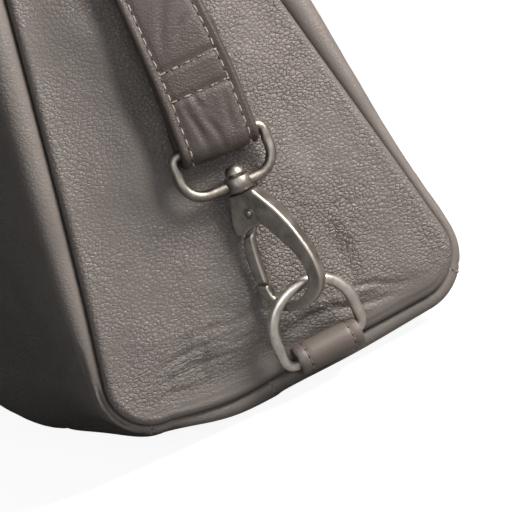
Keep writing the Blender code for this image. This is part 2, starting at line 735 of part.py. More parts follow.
def build_tab(leather):
    """Leather loop round the D-ring's straight bar, with its neck in the groove of the base seam."""
    inner_radius = D_RING_WIRE / 2 + TAB_PLAY
    outer_radius = inner_radius + TAB_WALL
    centre = tab_centre()
    tip_out = half_width_at(BASE_SEAM_HEIGHT) + SIDE_ROLL_RADIUS * 0.7 - centre.x
    tip_low, tip_high = -TAB_RISE - 1.6 * MM, -TAB_RISE - 0.55 * MM
    arms = [Vector((cos(2 * pi * i / 20), 0, sin(2 * pi * i / 20))) for i in range(20)]
    inner = [arm * inner_radius for arm in arms]
    outer = [arm * outer_radius for arm in arms]
    outer[10] = Vector((cos(radians(205)), 0, sin(radians(205)))) * outer_radius
    outer[11] = Vector((tip_out, 0, tip_high))
    outer[12] = Vector((tip_out, 0, tip_low))
    half = Vector((0, TAB_LENGTH / 2, 0))
    for name, turn in (("ring_tab_right", mirrored_none), ("ring_tab_left", mirrored_x)):
        ends = [[turn([centre + p + shift for p in loop]) for shift in (-half, half)] for loop in (outer, inner)]
        tube_slab(name, ends[0], ends[1], leather)


def build_d_rings(metal):
    half = (D_RING_WIDTH - D_RING_WIRE) / 2
    height = D_RING_HEIGHT - D_RING_WIRE
    foot, crown = 3.2 * MM, half * 0.96
    path = rounded_path([(-half, 0, foot, 3), (half, 0, foot, 3), (half, height, crown, 8), (-half, height, crown, 8)])
    ring = loft("d_ring_right", ring_tube(path, D_RING_WIRE / 2, 10), metal, closed=True, smooth_angle=60)
    place(ring, d_ring_frame(), Vector((0, 0, 0)), "d_ring_left")


def hook_point(point):
    return Vector((point.across * HOOK_LENGTH, 0, -point.down * HOOK_LENGTH))


def inward(outline, i, distance):
    """Shift of point i towards the inside of an outline that runs clockwise seen from its front."""
    before = (outline[i] - outline[i - 1]).normalized()
    after = (outline[(i + 1) % len(outline)] - outline[i]).normalized()
    tangent = (before + after).normalized()
    return Vector((tangent.z, 0, -tangent.x)) * distance / max(sqrt((1 + before.dot(after)) / 2), 0.5)


def prism(name, outline, top_half, bottom_half, chamfer, finish):
    """Plate of an outline in the XZ plane, with chamfered edges. It tapers from its top to the hook's bend."""
    loops = []
    for side, inset in ((-1, chamfer), (-1, 0), (1, 0), (1, chamfer)):
        loop = []
        for i, point in enumerate(outline):
            half = top_half + (bottom_half - top_half) * -point.z / HOOK_LENGTH
            loop.append(point + Vector((0, side * (half - chamfer + inset), 0)) + inward(outline, i, inset))
        loops.append(loop)
    return loft(name, loops, finish, smooth_angle=30)


def plate(name, outline, half_thickness, finish):
    loops = [[p + Vector((0, out, 0)) for p in outline] for out in (-half_thickness, half_thickness)]
    return loft(name, loops, finish)


def disc_outline(centre, radius, sides):
    angles = [2 * pi * (k + 0.5) / sides for k in range(sides)]
    return [centre + Vector((cos(a), 0, sin(a))) * radius for a in angles]


def turned(name, profile, sides, finish):
    """Turned piece about the Z axis through (radius, height) pairs."""
    angles = [2 * pi * (k + 0.5) / sides for k in range(sides)]
    loops = [[Vector((cos(a) * radius, sin(a) * radius, height)) for a in angles] for radius, height in profile]
    return loft(name, loops, finish, smooth_angle=50)


def place(thing, frame, origin, left_name):
    """Sets a finished piece in its left-handed frame, with its origin at a point there, and adds its twin."""
    thing.data.transform(frame.to_3x3().to_4x4() @ Matrix.Translation(-origin))
    thing.data.flip_normals()
    thing.location = frame @ origin
    mesh = thing.data.copy()
    mesh.transform(Matrix.Scale(-1, 4, Vector((1, 0, 0))))
    mesh.flip_normals()
    twin = bpy.data.objects.new(left_name, mesh)
    twin.location = (-thing.location.x, thing.location.y, thing.location.z)
    bpy.context.scene.collection.objects.link(twin)


def build_hook(metal):
    """Snap hook as one casting, with its gate pin and the post that it swivels on."""
    outline = [hook_point(p) for p in HOOK_OUTER + HOOK_INNER + HOOK_BODY]
    body = prism("snap_hook_right", outline, HOOK_TOP_THICKNESS / 2, HOOK_BEND_THICKNESS / 2, HOOK_CHAMFER, metal)
    corners = [(-0.24, 0.095), (0.095, 0.095), (0.095, 0.42), (-0.24, 0.42)]
    slot = [hook_point(HookPoint(*corner)) for corner in corners]
    cut(body, plate("gate_slot", slot, GATE_ROOT_THICKNESS / 2 + GAP, metal))
    pivot = hook_point(GATE_PIVOT)
    pin_reach = HOOK_TOP_THICKNESS / 2 - 0.7 * MM
    unite(body, plate("gate_pin", disc_outline(pivot, GATE_PIN_RADIUS, 10), pin_reach, metal))
    head, rise = COLLAR_HEIGHT + 3 * GAP, POST_HEAD_RADIUS
    profile = [(POST_RADIUS, -1.2 * MM), (POST_RADIUS, head), (rise, head + 0.1 * MM)]
    for turn in (0.35, 0.75, 1.15, 1.5):
        profile.append((rise * cos(turn), head + rise * sin(turn)))
    unite(body, turned("swivel_post", profile, 12, metal))
    place(body, hanging_frame(HOOK_YAW), Vector((0, 0, 0)), "snap_hook_left")


def build_gate(metal):
    """Sprung gate: a shank that closes the hook, and a thin root that turns on the pin."""
    pivot = hook_point(GATE_PIVOT)
    outline = [hook_point(p) for p in reversed(GATE_RIGHT + GATE_LEFT)]
    shank = prism("snap_gate_right", outline, GATE_THICKNESS / 2, GATE_THICKNESS / 2, HOOK_CHAMFER, metal)
    root_radius = 0.062 * HOOK_LENGTH
    root = [pivot + Vector((cos(pi * k / 8), 0, sin(pi * k / 8))) * root_radius for k in range(9)]
    root += [hook_point(HookPoint(-0.112, 0.385)), hook_point(HookPoint(-0.034, 0.385))]
    unite(shank, plate("gate_root", root, GATE_ROOT_THICKNESS / 2, metal))
    hole = disc_outline(pivot, GATE_PIN_RADIUS + 0.8 * GAP, 12)
    cut(shank, plate("gate_hole", hole, GATE_THICKNESS, metal))
    place(shank, hanging_frame(HOOK_YAW), pivot, "snap_gate_left")


def swivel_bar_heights():
    """Heights of the ring's lower and upper bars above the hook's body, at the middle of the wire."""
    low = GAP + COLLAR_HEIGHT / 2
    return low, low + SWIVEL_RING_HEIGHT - SWIVEL_RING_WIRE


def build_swivel_ring(metal):
    """Long ring for the strap, with the collar that the hook's post turns in."""
    low, high = swivel_bar_heights()
    half = (SWIVEL_RING_WIDTH - SWIVEL_RING_WIRE) / 2
    left, right = -half - SWIVEL_RING_SHIFT, half - SWIVEL_RING_SHIFT
    tight, wide = 2.3 * MM, 7.6 * MM
    path = rounded_path([(left, low, wide, 5), (right, low, wide, 5), (right, high, tight, 4), (left, high, tight, 4)])
    ring = loft("swivel_ring_right", ring_tube(path, SWIVEL_RING_WIRE / 2, 10), metal, closed=True, smooth_angle=60)
    bottom, top = GAP, GAP + COLLAR_HEIGHT
    soft = 0.6 * MM
    profile = [(COLLAR_RADIUS - soft, bottom), (COLLAR_RADIUS, bottom + soft)]
    profile += [(COLLAR_RADIUS, top - soft), (COLLAR_RADIUS - soft, top)]
    unite(ring, turned("collar", profile, 14, metal))
    hole = POST_RADIUS + GAP
    cut(ring, turned("collar_hole", [(hole, -2 * MM), (hole, top + 2 * MM)], 12, metal))
    place(ring, hanging_frame(0), Vector((0, 0, 0)), "swivel_ring_left")


# Strap


def strap_route():
    """Right half of the strap's middle line, from its tail round the ring's bar, up the side and over the top.

    Each point is (place, face normal, width)."""
    frame = hanging_frame(0)
    turn = frame.to_3x3()
    up = (turn @ Vector((0, 0, 1))).normalized()
    out = (turn @ Vector((0, 1, 0))).normalized()
    bar = frame @ Vector((-SWIVEL_RING_SHIFT, 0, swivel_bar_heights()[1]))
    radius = SWIVEL_RING_WIRE / 2 + GAP + STRAP_THICKNESS / 2
    layer = STRAP_THICKNESS + 0.2 * MM
    route = []
    for share in (1.0, 0.7, 0.42, 0.28, 0.14):
        close = smooth((share - 0.05) / 0.35)
        back = radius - (2 * radius - layer) * close
        route.append((bar + up * STRAP_TAIL * share - out * back, -out, STRAP_END_WIDTH))
    for i in range(9):
        angle = pi + pi * i / 8
        arm = out * cos(angle) + up * sin(angle)
        route.append((bar + arm * radius, arm, STRAP_END_WIDTH))
    leave = 0.5
    for share in (0.14, 0.3, leave):
        route.append((bar + up * STRAP_TAIL * share + out * radius, out, STRAP_END_WIDTH))
    start = bar + up * STRAP_TAIL * leave + out * radius
    keeper_z = RIM_HEIGHT - KEEPER_DROP
    climb = (0.10, 0.20, 0.30, 0.42, 0.55, 0.68, 0.80, 0.90, 0.96)
    for share in climb:
        z = start.z + (keeper_z - start.z) * share
        y = start.y + STRAP_LEAN * sin(pi * min(share * 1.05, 1)) + (keeper_offset() - start.y) * smooth(share)
        free = side_face_x(0, z) + STRAP_STANDOFF + STRAP_THICKNESS / 2
        seated = keeper_centre_x(z)
        x = free + (seated - free) * smooth((share - 0.45) / 0.5)
        x = start.x + (x - start.x) * smooth(share / 0.36)
        width = STRAP_END_WIDTH + (STRAP_WIDTH - STRAP_END_WIDTH) * smooth(share / 0.3)
        route.append((Vector((x, y, z)), Vector((1, 0, 0)), width))
    for z in (keeper_z, keeper_z + KEEPER_LENGTH * 0.5, keeper_z + KEEPER_LENGTH):
        route.append((Vector((keeper_centre_x(z), keeper_offset(), z)), Vector((1, 0, 0)), STRAP_WIDTH))
    foot_z = keeper_z + KEEPER_LENGTH * 1.5
    foot_x = keeper_centre_x(foot_z)
    steps = 11
    for i in range(steps + 1):
        angle = pi / 2 * i / steps
        place = Vector((foot_x * cos(angle), keeper_offset() * cos(angle), foot_z + STRAP_ARCH_HEIGHT * sin(angle)))
        normal = Vector((cos(angle) / foot_x, 0, sin(angle) / STRAP_ARCH_HEIGHT)).normalized()
        route.append((place, normal, STRAP_WIDTH))
    return route


def keeper_offset():
    return 4 * MM


def keeper_centre_x(z):
    """X of the strap's middle where it runs through the keeper, or would if the keeper were longer."""
    return side_face_x(0, z) + GAP + KEEPER_WALL + GAP + STRAP_THICKNESS / 2


def strap_section(width):
    """Section of the strap as (across, out), with rolled edges."""
    half, thick = width / 2, STRAP_THICKNESS / 2
    soft = thick * 0.9
    edge = [(half - soft, -thick), (half, -thick * 0.35), (half, thick * 0.35), (half - soft, thick)]
    return edge + [(-across, out) for across, out in reversed(edge)]


def build_strap(leather):
    half = strap_route()
    other = [(Vector((-p.x, p.y, p.z)), Vector((-n.x, n.y, n.z)), w) for p, n, w in reversed(half[:-1])]
    route = half + other
    loops = []
    for i, (place, normal, width) in enumerate(route):
        before, after = route[max(i - 1, 0)][0], route[min(i + 1, len(route) - 1)][0]
        ahead = (after - before).normalized()
        across = ahead.cross(normal).normalized()
        out = across.cross(ahead).normalized()
        loops.append([place + across * a + out * o for a, o in strap_section(width)])
    loft("shoulder_strap", loops, leather, smooth_angle=35)


def build_keepers(leather):
    """Leather loops that hold the strap against the top of each side."""
    low = RIM_HEIGHT - KEEPER_DROP
    inner_out = STRAP_THICKNESS / 2 + GAP
    inner_half = STRAP_WIDTH / 2 + 2 * GAP
    soft = 1.0 * MM
    for side, name in ((1, "strap_keeper_right"), (-1, "strap_keeper_left")):
        ends = []
        for grow in (KEEPER_WALL, 0.0):
            half, out = inner_half + grow, inner_out + grow
            ring = [(half, -out + soft), (half, out - soft), (half - soft, out), (soft - half, out)]
            ring += [(-half, out - soft), (-half, soft - out), (soft - half, -out), (half - soft, -out)]
            pair = []
            for z in (low, low + KEEPER_LENGTH):
                centre = keeper_centre_x(z)
                loop = [Vector((centre + o, keeper_offset() + a, z)) for a, o in ring]
                pair.append(loop if side > 0 else mirrored_x(loop))
            ends.append(pair)
        tube_slab(name, ends[0], ends[1], leather)


def build_bag():
    clear_scene()
    leather = material("bag_leather", "leather", 0.55, 0.0)
    strap_leather = material("strap_leather", "strap_leather", 0.5, 0.0)
    metal = material("antique_metal", "metal", 0.38, 1.0)
    tape_cloth = material("zip_cloth", "zip_tape", 0.85, 0.0)
    build_panels(leather)
    build_side("side_panel_right", 1, leather)
    build_side("side_panel_left", -1, leather)
    build_zip(leather, tape_cloth, metal)
    build_tab(strap_leather)
    build_d_rings(metal)
    build_hook(metal)
    build_gate(metal)
    build_swivel_ring(metal)
    build_strap(strap_leather)
    build_keepers(strap_leather)


build_bag()
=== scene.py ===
from math import atan, cos, exp, pi, radians, sin, sqrt, tan
from types import SimpleNamespace

import bmesh
import bpy
from mathutils import Matrix, Vector, noise


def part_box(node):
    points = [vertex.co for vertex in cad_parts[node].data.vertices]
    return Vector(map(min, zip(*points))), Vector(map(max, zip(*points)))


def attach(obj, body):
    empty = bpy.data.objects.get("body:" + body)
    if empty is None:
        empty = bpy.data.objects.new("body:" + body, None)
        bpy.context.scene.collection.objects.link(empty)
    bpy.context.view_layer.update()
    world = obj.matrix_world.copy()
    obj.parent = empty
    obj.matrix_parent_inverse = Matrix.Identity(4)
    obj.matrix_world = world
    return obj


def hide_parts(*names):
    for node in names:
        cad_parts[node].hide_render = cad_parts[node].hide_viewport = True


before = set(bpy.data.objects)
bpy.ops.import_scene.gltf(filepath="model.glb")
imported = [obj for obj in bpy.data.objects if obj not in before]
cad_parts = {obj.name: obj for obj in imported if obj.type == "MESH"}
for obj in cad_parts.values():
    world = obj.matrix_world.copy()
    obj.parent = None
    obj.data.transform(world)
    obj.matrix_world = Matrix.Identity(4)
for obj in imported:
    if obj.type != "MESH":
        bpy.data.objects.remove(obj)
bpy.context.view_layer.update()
mm = 0.001
print("frame loaded:", len(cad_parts), "nodes")


# Small tools

def hexToLinear(code):
    parts = [int(code[i:i + 2], 16) / 255 for i in (1, 3, 5)]
    return [p / 12.92 if p <= 0.04045 else ((p + 0.055) / 1.055) ** 2.4 for p in parts] + [1.0]


def smoothStep(share):
    share = min(max(share, 0.0), 1.0)
    return share * share * (3 - 2 * share)


def bell(distance, width):
    return exp(-(distance / width) ** 2)


def readCurve(places, values, place):
    # smooth curve through a short table
    last = len(places) - 1
    slopes = []
    for i in range(last + 1):
        before, after = max(i - 1, 0), min(i + 1, last)
        slopes.append((values[after] - values[before]) / (places[after] - places[before]))
    i = max(k for k in range(last) if k == 0 or place >= places[k])
    span = places[i + 1] - places[i]
    t = min(max((place - places[i]) / span, 0.0), 1.0)
    rise = (values[i + 1] - values[i]) * smoothStep(t)
    return values[i] + rise + span * (t * (1 - t) ** 2 * slopes[i] - t * t * (1 - t) * slopes[i + 1])


def gridPiece(name, grid, wrapRows=False, wrapColumns=False, capEnds=False, attributes=None):
    # quads over rows of points; attributes hold one number for each point, row by row
    bm = bmesh.new()
    verts = [[bm.verts.new(p) for p in row] for row in grid]
    rows, columns = len(grid), len(grid[0])
    for i in range(rows if wrapRows else rows - 1):
        for j in range(columns if wrapColumns else columns - 1):
            k, l = (i + 1) % rows, (j + 1) % columns
            bm.faces.new((verts[i][j], verts[i][l], verts[k][l], verts[k][j]))
    if capEnds:
        bm.faces.new(verts[0])
        bm.faces.new(verts[-1])
    flat = {key: [v for row in table for v in row] for key, table in (attributes or {}).items()}
    return pieceFromBmesh(name, bm, flat)


def pieceFromBmesh(name, bm, attributes=None, sharpAngle=50):
    bmesh.ops.recalc_face_normals(bm, faces=bm.faces)
    mesh = bpy.data.meshes.new(name)
    bm.to_mesh(mesh)
    bm.free()
    for key, values in (attributes or {}).items():
        mesh.attributes.new(key, "FLOAT", "POINT").data.foreach_set("value", values)
    mesh.shade_smooth()
    mesh.set_sharp_from_angle(angle=radians(sharpAngle))
    return linkObject(name, mesh)


def linkObject(name, data):
    thing = bpy.data.objects.new(name, data)
    bpy.context.scene.collection.objects.link(thing)
    return thing


def shellPiece(name, outer, inner, attributes):
    # closed leather wall between two grids
    bm = bmesh.new()
    layers = [[[bm.verts.new(p) for p in row] for row in grid] for grid in (outer, inner)]
    rows, columns = len(outer), len(outer[0])
    for layer in layers:
        for i in range(rows - 1):
            for j in range(columns - 1):
                bm.faces.new((layer[i][j], layer[i][j + 1], layer[i + 1][j + 1], layer[i + 1][j]))
    border = [(0, j) for j in range(columns)]
    border += [(i, columns - 1) for i in range(1, rows)]
    border += [(rows - 1, j) for j in range(columns - 2, -1, -1)]
    border += [(i, 0) for i in range(rows - 2, 0, -1)]
    for (i, j), (k, l) in zip(border, border[1:] + border[:1]):
        bm.faces.new((layers[0][i][j], layers[0][k][l], layers[1][k][l], layers[1][i][j]))
    flat = {key: [v for row in table for v in row] * 2 for key, table in attributes.items()}
    return pieceFromBmesh(name, bm, flat)


def applyModifiers(piece):
    evaluated = piece.evaluated_get(bpy.context.evaluated_depsgraph_get())
    made = bpy.data.meshes.new_from_object(evaluated)
    piece.modifiers.clear()
    piece.data = made
    return piece


def booleanStep(piece, other, operation):
    step = piece.modifiers.new("step", "BOOLEAN")
    step.operation, step.solver, step.object = operation, "EXACT", other
    applyModifiers(piece)
    bpy.data.objects.remove(other)
    piece.data.shade_smooth()
    piece.data.set_sharp_from_angle(angle=radians(50))


def mirrorPiece(piece, name):
    mesh = piece.data.copy()
    mesh.transform(Matrix.Scale(-1, 4, Vector((1, 0, 0))))
    mesh.flip_normals()
    return linkObject(name, mesh)


def dress(piece, finish, replaces=(), body="bag"):
    piece.data.materials.clear()
    piece.data.materials.append(finish)
    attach(piece, body)
    if replaces:
        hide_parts(*replaces)
    return piece


# Materials

def setInputs(tree, node, inputs):
    # each input gets a value, or a link where another node's output is given
    for key, value in inputs.items():
        if isinstance(value, bpy.types.NodeSocket):
            tree.links.new(value, node.inputs[key])
        else:
            node.inputs[key].default_value = value


def addNode(tree, kind, inputs=None, output=0, stops=(), **settings):
    # adds a node with its settings, inputs and ramp colours, and gives one of its outputs
    node = tree.nodes.new(kind)
    for key, value in settings.items():
        setattr(node, key, value)
    setInputs(tree, node, inputs or {})
    for index, (place, colour) in enumerate(stops):
        element = node.color_ramp.elements[index]
        element.position, element.color = place, colour
    return node.outputs[output]


def newMaterial(name):
    finish = bpy.data.materials.new(name)
    finish.use_nodes = True
    return finish, finish.node_tree, finish.node_tree.nodes["Principled BSDF"]


leatherLook = {
    "pebble": 1.28, "pore": 0.42, "lump": 1.1, "creaseWidth": 1.3, "cloud": 30.0,  # sizes on the hide in mm
    "warp": 0.55, "warpSize": 2.6, "slant": radians(-20), "creaseSlant": radians(-16),
    "pebbleBump": 0.36, "creaseBump": 0.30, "crackShade": 0.74, "creaseShade": 0.30,
    "roughness": (0.34, 0.50),
}


def makeLeather(name, dark, light, look, grainDefault):
    # milled cowhide: soft pebbles with painted shade in the cracks between them, and a low waxy sheen on
    # their tops
    finish, tree, shader = newMaterial(name)
    place = addNode(tree, "ShaderNodeTexCoord", output="Object")
    warp = addNode(tree, "ShaderNodeTexNoise", {
        "Vector": place, "Scale": 1 / (look["warpSize"] * mm), "Detail": 2.0}, "Color")
    shift = addNode(tree, "ShaderNodeVectorMath", {0: warp, "Scale": look["warp"] * mm}, operation="SCALE")
    bent = addNode(tree, "ShaderNodeVectorMath", {0: place, 1: shift}, operation="ADD")
    # pebbles run a little longer than wide, along one slant of the hide
    slanted = addNode(tree, "ShaderNodeMapping", {
        "Vector": bent, "Rotation": (look["slant"], 0, 0), "Scale": (1.0, 0.80, 1.12)})
    cells = {"Vector": slanted, "Scale": 1 / (look["pebble"] * mm), "Randomness": 0.9}
    fineCells = {"Vector": slanted, "Scale": cells["Scale"] * 2.1, "Randomness": 1.0}
    edges = addNode(tree, "ShaderNodeTexVoronoi", cells, "Distance", feature="DISTANCE_TO_EDGE")
    middles = addNode(tree, "ShaderNodeTexVoronoi", cells, "Distance", feature="F1")
    fineEdges = addNode(tree, "ShaderNodeTexVoronoi", fineCells, "Distance", feature="DISTANCE_TO_EDGE")
    tops = addNode(tree, "ShaderNodeMapRange", {"Value": edges, "From Max": 0.24},
        interpolation_type="SMOOTHSTEP")
    fineTops = addNode(tree, "ShaderNodeMapRange", {"Value": fineEdges, "From Max": 0.25},
        interpolation_type="SMOOTHSTEP")
    domes = addNode(tree, "ShaderNodeMapRange",
        {"Value": middles, "From Max": 0.8, "To Min": 1.0, "To Max": 0.0})
    lumps = addNode(tree, "ShaderNodeTexNoise",
        {"Vector": bent, "Scale": 1 / (look["lump"] * mm), "Detail": 2.0})
    pores = addNode(tree, "ShaderNodeTexNoise", {
        "Vector": place, "Scale": 1 / (look["pore"] * mm), "Detail": 3.0, "Roughness": 0.6})
    clouds = addNode(tree, "ShaderNodeTexNoise",
        {"Vector": place, "Scale": 1 / (look["cloud"] * mm), "Detail": 3.0})
    # the panels' own attributes say where the grain is strong and where the hide is loose
    grain = addNode(tree, "ShaderNodeAttribute", output="Fac", attribute_name="grain")
    creaseZone = addNode(tree, "ShaderNodeAttribute", output="Fac", attribute_name="crease")
    uneven = addNode(tree, "ShaderNodeMapRange", {
        "Value": clouds, "From Min": 0.34, "From Max": 0.62, "To Min": 0.45, "To Max": 1.15})
    grainHere = addNode(tree, "ShaderNodeMath", {0: grain, 1: grainDefault}, operation="ADD")
    grainHere = addNode(tree, "ShaderNodeMath", {0: grainHere, 1: uneven}, operation="MULTIPLY")
    pebbles = 0.0
    for part, share in ((tops, 0.48), (domes, 0.62), (fineTops, 0.26), (lumps, 0.55)):
        pebbles = addNode(tree, "ShaderNodeMath", {0: part, 1: share, 2: pebbles}, operation="MULTIPLY_ADD")
    height = addNode(tree, "ShaderNodeMath", {0: pores, 1: 0.10}, operation="MULTIPLY")
    height = addNode(tree, "ShaderNodeMath", {0: pebbles, 1: grainHere, 2: height}, operation="MULTIPLY_ADD")
    bump = addNode(tree, "ShaderNodeBump",
        {"Strength": 1.0, "Distance": look["pebbleBump"] * mm, "Height": height})
    # fine creases where the hide is loose
    along = addNode(tree, "ShaderNodeMapping", {
        "Vector": bent, "Rotation": (look["creaseSlant"], 0, 0), "Scale": (1.0, 0.22, 1.0)})
    waves = addNode(tree, "ShaderNodeTexNoise", {
        "Vector": along, "Scale": 1 / (look["creaseWidth"] * 2 * mm), "Detail": 3.0, "Distortion": 0.8})
    ridge = addNode(tree, "ShaderNodeMath", {0: waves, 1: 0.5}, operation="SUBTRACT")
    ridge = addNode(tree, "ShaderNodeMath", {0: ridge}, operation="ABSOLUTE")
    creaseHeight = addNode(tree, "ShaderNodeMapRange", {"Value": ridge, "From Max": 0.07})
    creaseHeight = addNode(tree, "ShaderNodeMath", {0: creaseHeight, 1: creaseZone}, operation="MULTIPLY")
    bump = addNode(tree, "ShaderNodeBump", {
        "Strength": 0.9, "Distance": look["creaseBump"] * mm, "Height": creaseHeight, "Normal": bump})
    # painted shade: cracks and creases are darker than the tops
    tone = addNode(tree, "ShaderNodeValToRGB", {"Fac": clouds}, stops=(
        (0.30, hexToLinear(dark)), (0.70, hexToLinear(light))))
    cracks = addNode(tree, "ShaderNodeMapRange", {"Value": edges, "From Min": 0.10, "From Max": 0.0})
    creaseLines = addNode(tree, "ShaderNodeMapRange", {"Value": ridge, "From Min": 0.03, "From Max": 0.0})
    for lines, zone, strength, shade in (
            (cracks, grainHere, look["crackShade"], (0.30, 0.27, 0.25, 1.0)),
            (creaseLines, creaseZone, look["creaseShade"], (0.38, 0.34, 0.31, 1.0))):
        share = addNode(tree, "ShaderNodeMath", {0: zone, 1: strength}, operation="MULTIPLY")
        share = addNode(tree, "ShaderNodeMath", {0: lines, 1: share}, operation="MULTIPLY")
        tone = addNode(tree, "ShaderNodeMix", {0: share, 6: tone, 7: shade}, 2, data_type="RGBA",
            blend_type="MULTIPLY")
    low, high = look["roughness"]
    rough = addNode(tree, "ShaderNodeMapRange", {
        "Value": pores, "From Min": 0.3, "From Max": 0.7, "To Min": low, "To Max": high})
    rough = addNode(tree, "ShaderNodeMath", {0: cracks, 1: 0.2, 2: rough}, operation="MULTIPLY_ADD")
    setInputs(tree, shader, {"Base Color": tone, "Roughness": rough, "Normal": bump, "IOR": 1.48})
    return finish


def makeMetal(name, dark, light, brushed):
    # antique nickel plate: brushed, then darkened, with the colour brighter on its rounded edges as a painted
    # highlight along with rubbed wear
    finish, tree, shader = newMaterial(name)
    place = addNode(tree, "ShaderNodeTexCoord", output="Object")
    stretched = addNode(tree, "ShaderNodeMapping", {"Vector": place, "Scale": (1.0, 1.0, 0.12)})
    patches = addNode(tree, "ShaderNodeTexNoise", {
        "Vector": place, "Scale": 1 / (5 * mm), "Detail": 5.0, "Roughness": 0.65})
    strokes = addNode(tree, "ShaderNodeTexNoise",
        {"Vector": stretched, "Scale": 1 / (0.35 * mm), "Detail": 2.0})
    edge = addNode(tree, "ShaderNodeAttribute", output="Fac", attribute_name="edge")
    worn = addNode(tree, "ShaderNodeMath", {0: strokes, 1: 0.3}, operation="MULTIPLY")
    worn = addNode(tree, "ShaderNodeMath", {0: patches, 1: 0.7, 2: worn}, operation="MULTIPLY_ADD")
    # painted highlight: the colour is lifted on the marked rounded edges, over the rubbed patches and strokes
    edgeHighlightOverWear = addNode(tree, "ShaderNodeMath", {0: edge, 1: 0.45, 2: worn}, operation="MULTIPLY_ADD")
    tone = addNode(tree, "ShaderNodeValToRGB", {"Fac": edgeHighlightOverWear}, stops=(
        (0.34, hexToLinear(dark)), (0.70, hexToLinear(light))))
    low, high = brushed
    rough = addNode(tree, "ShaderNodeMapRange", {
        "Value": worn, "From Min": 0.3, "From Max": 0.7, "To Min": low, "To Max": high})
    rough = addNode(tree, "ShaderNodeMath", {0: edge, 1: -0.10, 2: rough}, operation="MULTIPLY_ADD")
    bump = addNode(tree, "ShaderNodeBump", {"Strength": 0.35, "Distance": 0.03 * mm, "Height": worn})
    setInputs(tree, shader, {"Base Color": tone, "Roughness": rough, "Normal": bump, "Metallic": 1.0})
    return finish


def makeFibre(name, kind, pattern, stops, relief, roughness, turn=0.0):
    # dull fibres whose pattern gives both the colour and the relief
    finish, tree, shader = newMaterial(name)
    place = addNode(tree, "ShaderNodeTexCoord", output="Object")
    turned = addNode(tree, "ShaderNodeMapping", {"Vector": place, "Rotation": (0, 0, turn)})
    marks = addNode(tree, kind, dict(pattern, Vector=turned), "Fac")
    tone = addNode(tree, "ShaderNodeValToRGB", {"Fac": marks}, stops=stops)
    strength, depth = relief
    bump = addNode(tree, "ShaderNodeBump", {"Strength": strength, "Distance": depth * mm, "Height": marks})
    setInputs(tree, shader, {"Base Color": tone, "Roughness": roughness, "Normal": bump})
    return finish


def makeThread(name, code):
    # twisted polyester thread: fine strands, with painted shade between them
    colour = hexToLinear(code)
    darker = [channel * 0.55 for channel in colour[:3]] + [1.0]
    strands = {"Scale": 1 / (0.5 * mm), "Detail": 1.0}
    return makeFibre(name, "ShaderNodeTexNoise", strands, ((0.3, darker), (0.65, colour)), (0.5, 0.08), 0.7)


bodyLeather = makeLeather("milled cowhide", "#605a55", "#736c67", leatherLook, 0.05)
strapLook = dict(leatherLook, pebble=1.0, pebbleBump=0.26, crackShade=0.40, roughness=(0.38, 0.52))
strapLeather = makeLeather("smooth strap cowhide", "#332b27", "#403731", strapLook, 0.0)
# the tab has the strap's look in a paler tone: partly its own greyer leather, partly a painted highlight
tabLeather = makeLeather("tab cowhide with painted highlight", "#544b46", "#665d57", strapLook, 0.15)
ringMetal = makeMetal("rubbed antique nickel", "#b5aea5", "#e6e1d9", (0.30, 0.42))
hookMetal = makeMetal("dark antique nickel", "#6a645d", "#a59e95", (0.36, 0.50))
thread = makeThread("taupe polyester thread", "#93877b")
tabThread = makeThread("brown polyester thread", "#7d6f64")
# painted shade: the needle holes are dark blobs on the skin, standing for the shade inside the holes
needleHoleShade = makeThread("shadowed needle hole", "#1b1714")
# cut edge of dyed leather: reddish layers of fibre
rawEdge = makeFibre(
    "raw leather edge", "ShaderNodeTexNoise", {"Scale": 1 / (0.5 * mm), "Detail": 4.0},
    ((0.35, hexToLinear("#3d2b25")), (0.7, hexToLinear("#74574a"))), (0.8, 0.15), 0.85)
# zip tape: a close slanting weave of polyester, drawn coarser than it is so that it shows
tapeCloth = makeFibre(
    "polyester zip tape", "ShaderNodeTexWave", {"Scale": 1 / (2.2 * mm), "Distortion": 0.6},
    ((0.2, hexToLinear("#1f1b18")), (0.8, hexToLinear("#3c352f"))), (0.7, 0.15), 0.9, radians(45))
print("materials made")


# Shape of the bag, the same rules as its solids have

bag = {
    "baseWidth": 284 * mm, "rimWidth": 256 * mm, "baseDepth": 130 * mm, "rimDepth": 26 * mm,
    "rimHeight": 294 * mm, "seamHeight": 9.4 * mm, "baseLift": 4.2 * mm, "cornerRadius": 15 * mm,
    "seamBow": 2.8 * mm, "leather": 1.6 * mm, "gap": 0.3 * mm, "allowance": 6 * mm, "seamTurn": radians(30),
    "roll": 4.4 * mm, "sideRoll": 2.4 * mm, "bulge": 20 * mm, "sideBulge": 3 * mm, "baseReach": 40 * mm,
    "cornerFill": 1.6 * mm, "frontFill": 0.9 * mm, "bulgePower": 3.0, "bellPower": 2.2,
    "frontJoin": 0.70, "backJoin": 0.46,
}
wallCurves = {
    "height": (0.00, 0.12, 0.32, 0.55, 0.82, 1.00),
    "frontRoll": (0.42, 1.00, 1.38, 1.42, 1.00, 0.50), "backRoll": (0.44, 0.54, 1.12, 1.56, 0.86, 0.50),
    "frontBulge": (0.64, 0.90, 1.00, 1.00, 0.66, 0.25), "backBulge": (0.50, 0.68, 1.00, 1.12, 0.66, 0.25),
    "frontBow": (0.00, 0.50, 0.88, 1.00, 0.50, 0.00), "backBow": (0.00, 0.00, 0.05, 0.08, 0.05, 0.00),
    "frontSide": (1.0, 1.0, 1.0, 1.0, 1.0, 1.0), "backSide": (1.50, 1.35, 1.0, 1.0, 1.0, 1.0),
    "allowance": (1.0, 1.0, 1.0, 1.0, 1.0, 0.36),
}
baseCurves = {
    "across": (0.00, 0.12, 0.25, 0.45, 0.70, 1.00), "roll": (0.38, 0.60, 0.70, 0.74, 0.74, 0.62),
    "lift": (0.80, 0.22, -0.14, 0.00, 0.00, 0.10), "reach": (2.6, 2.5, 2.4, 2.3, 2.3, 2.3),
}
detail = {
    "wallRows": 168, "cornerRows": 26, "baseRows": 128, "rollSteps": 12, "faceColumns": 44, "edgeSteps": 8,
}

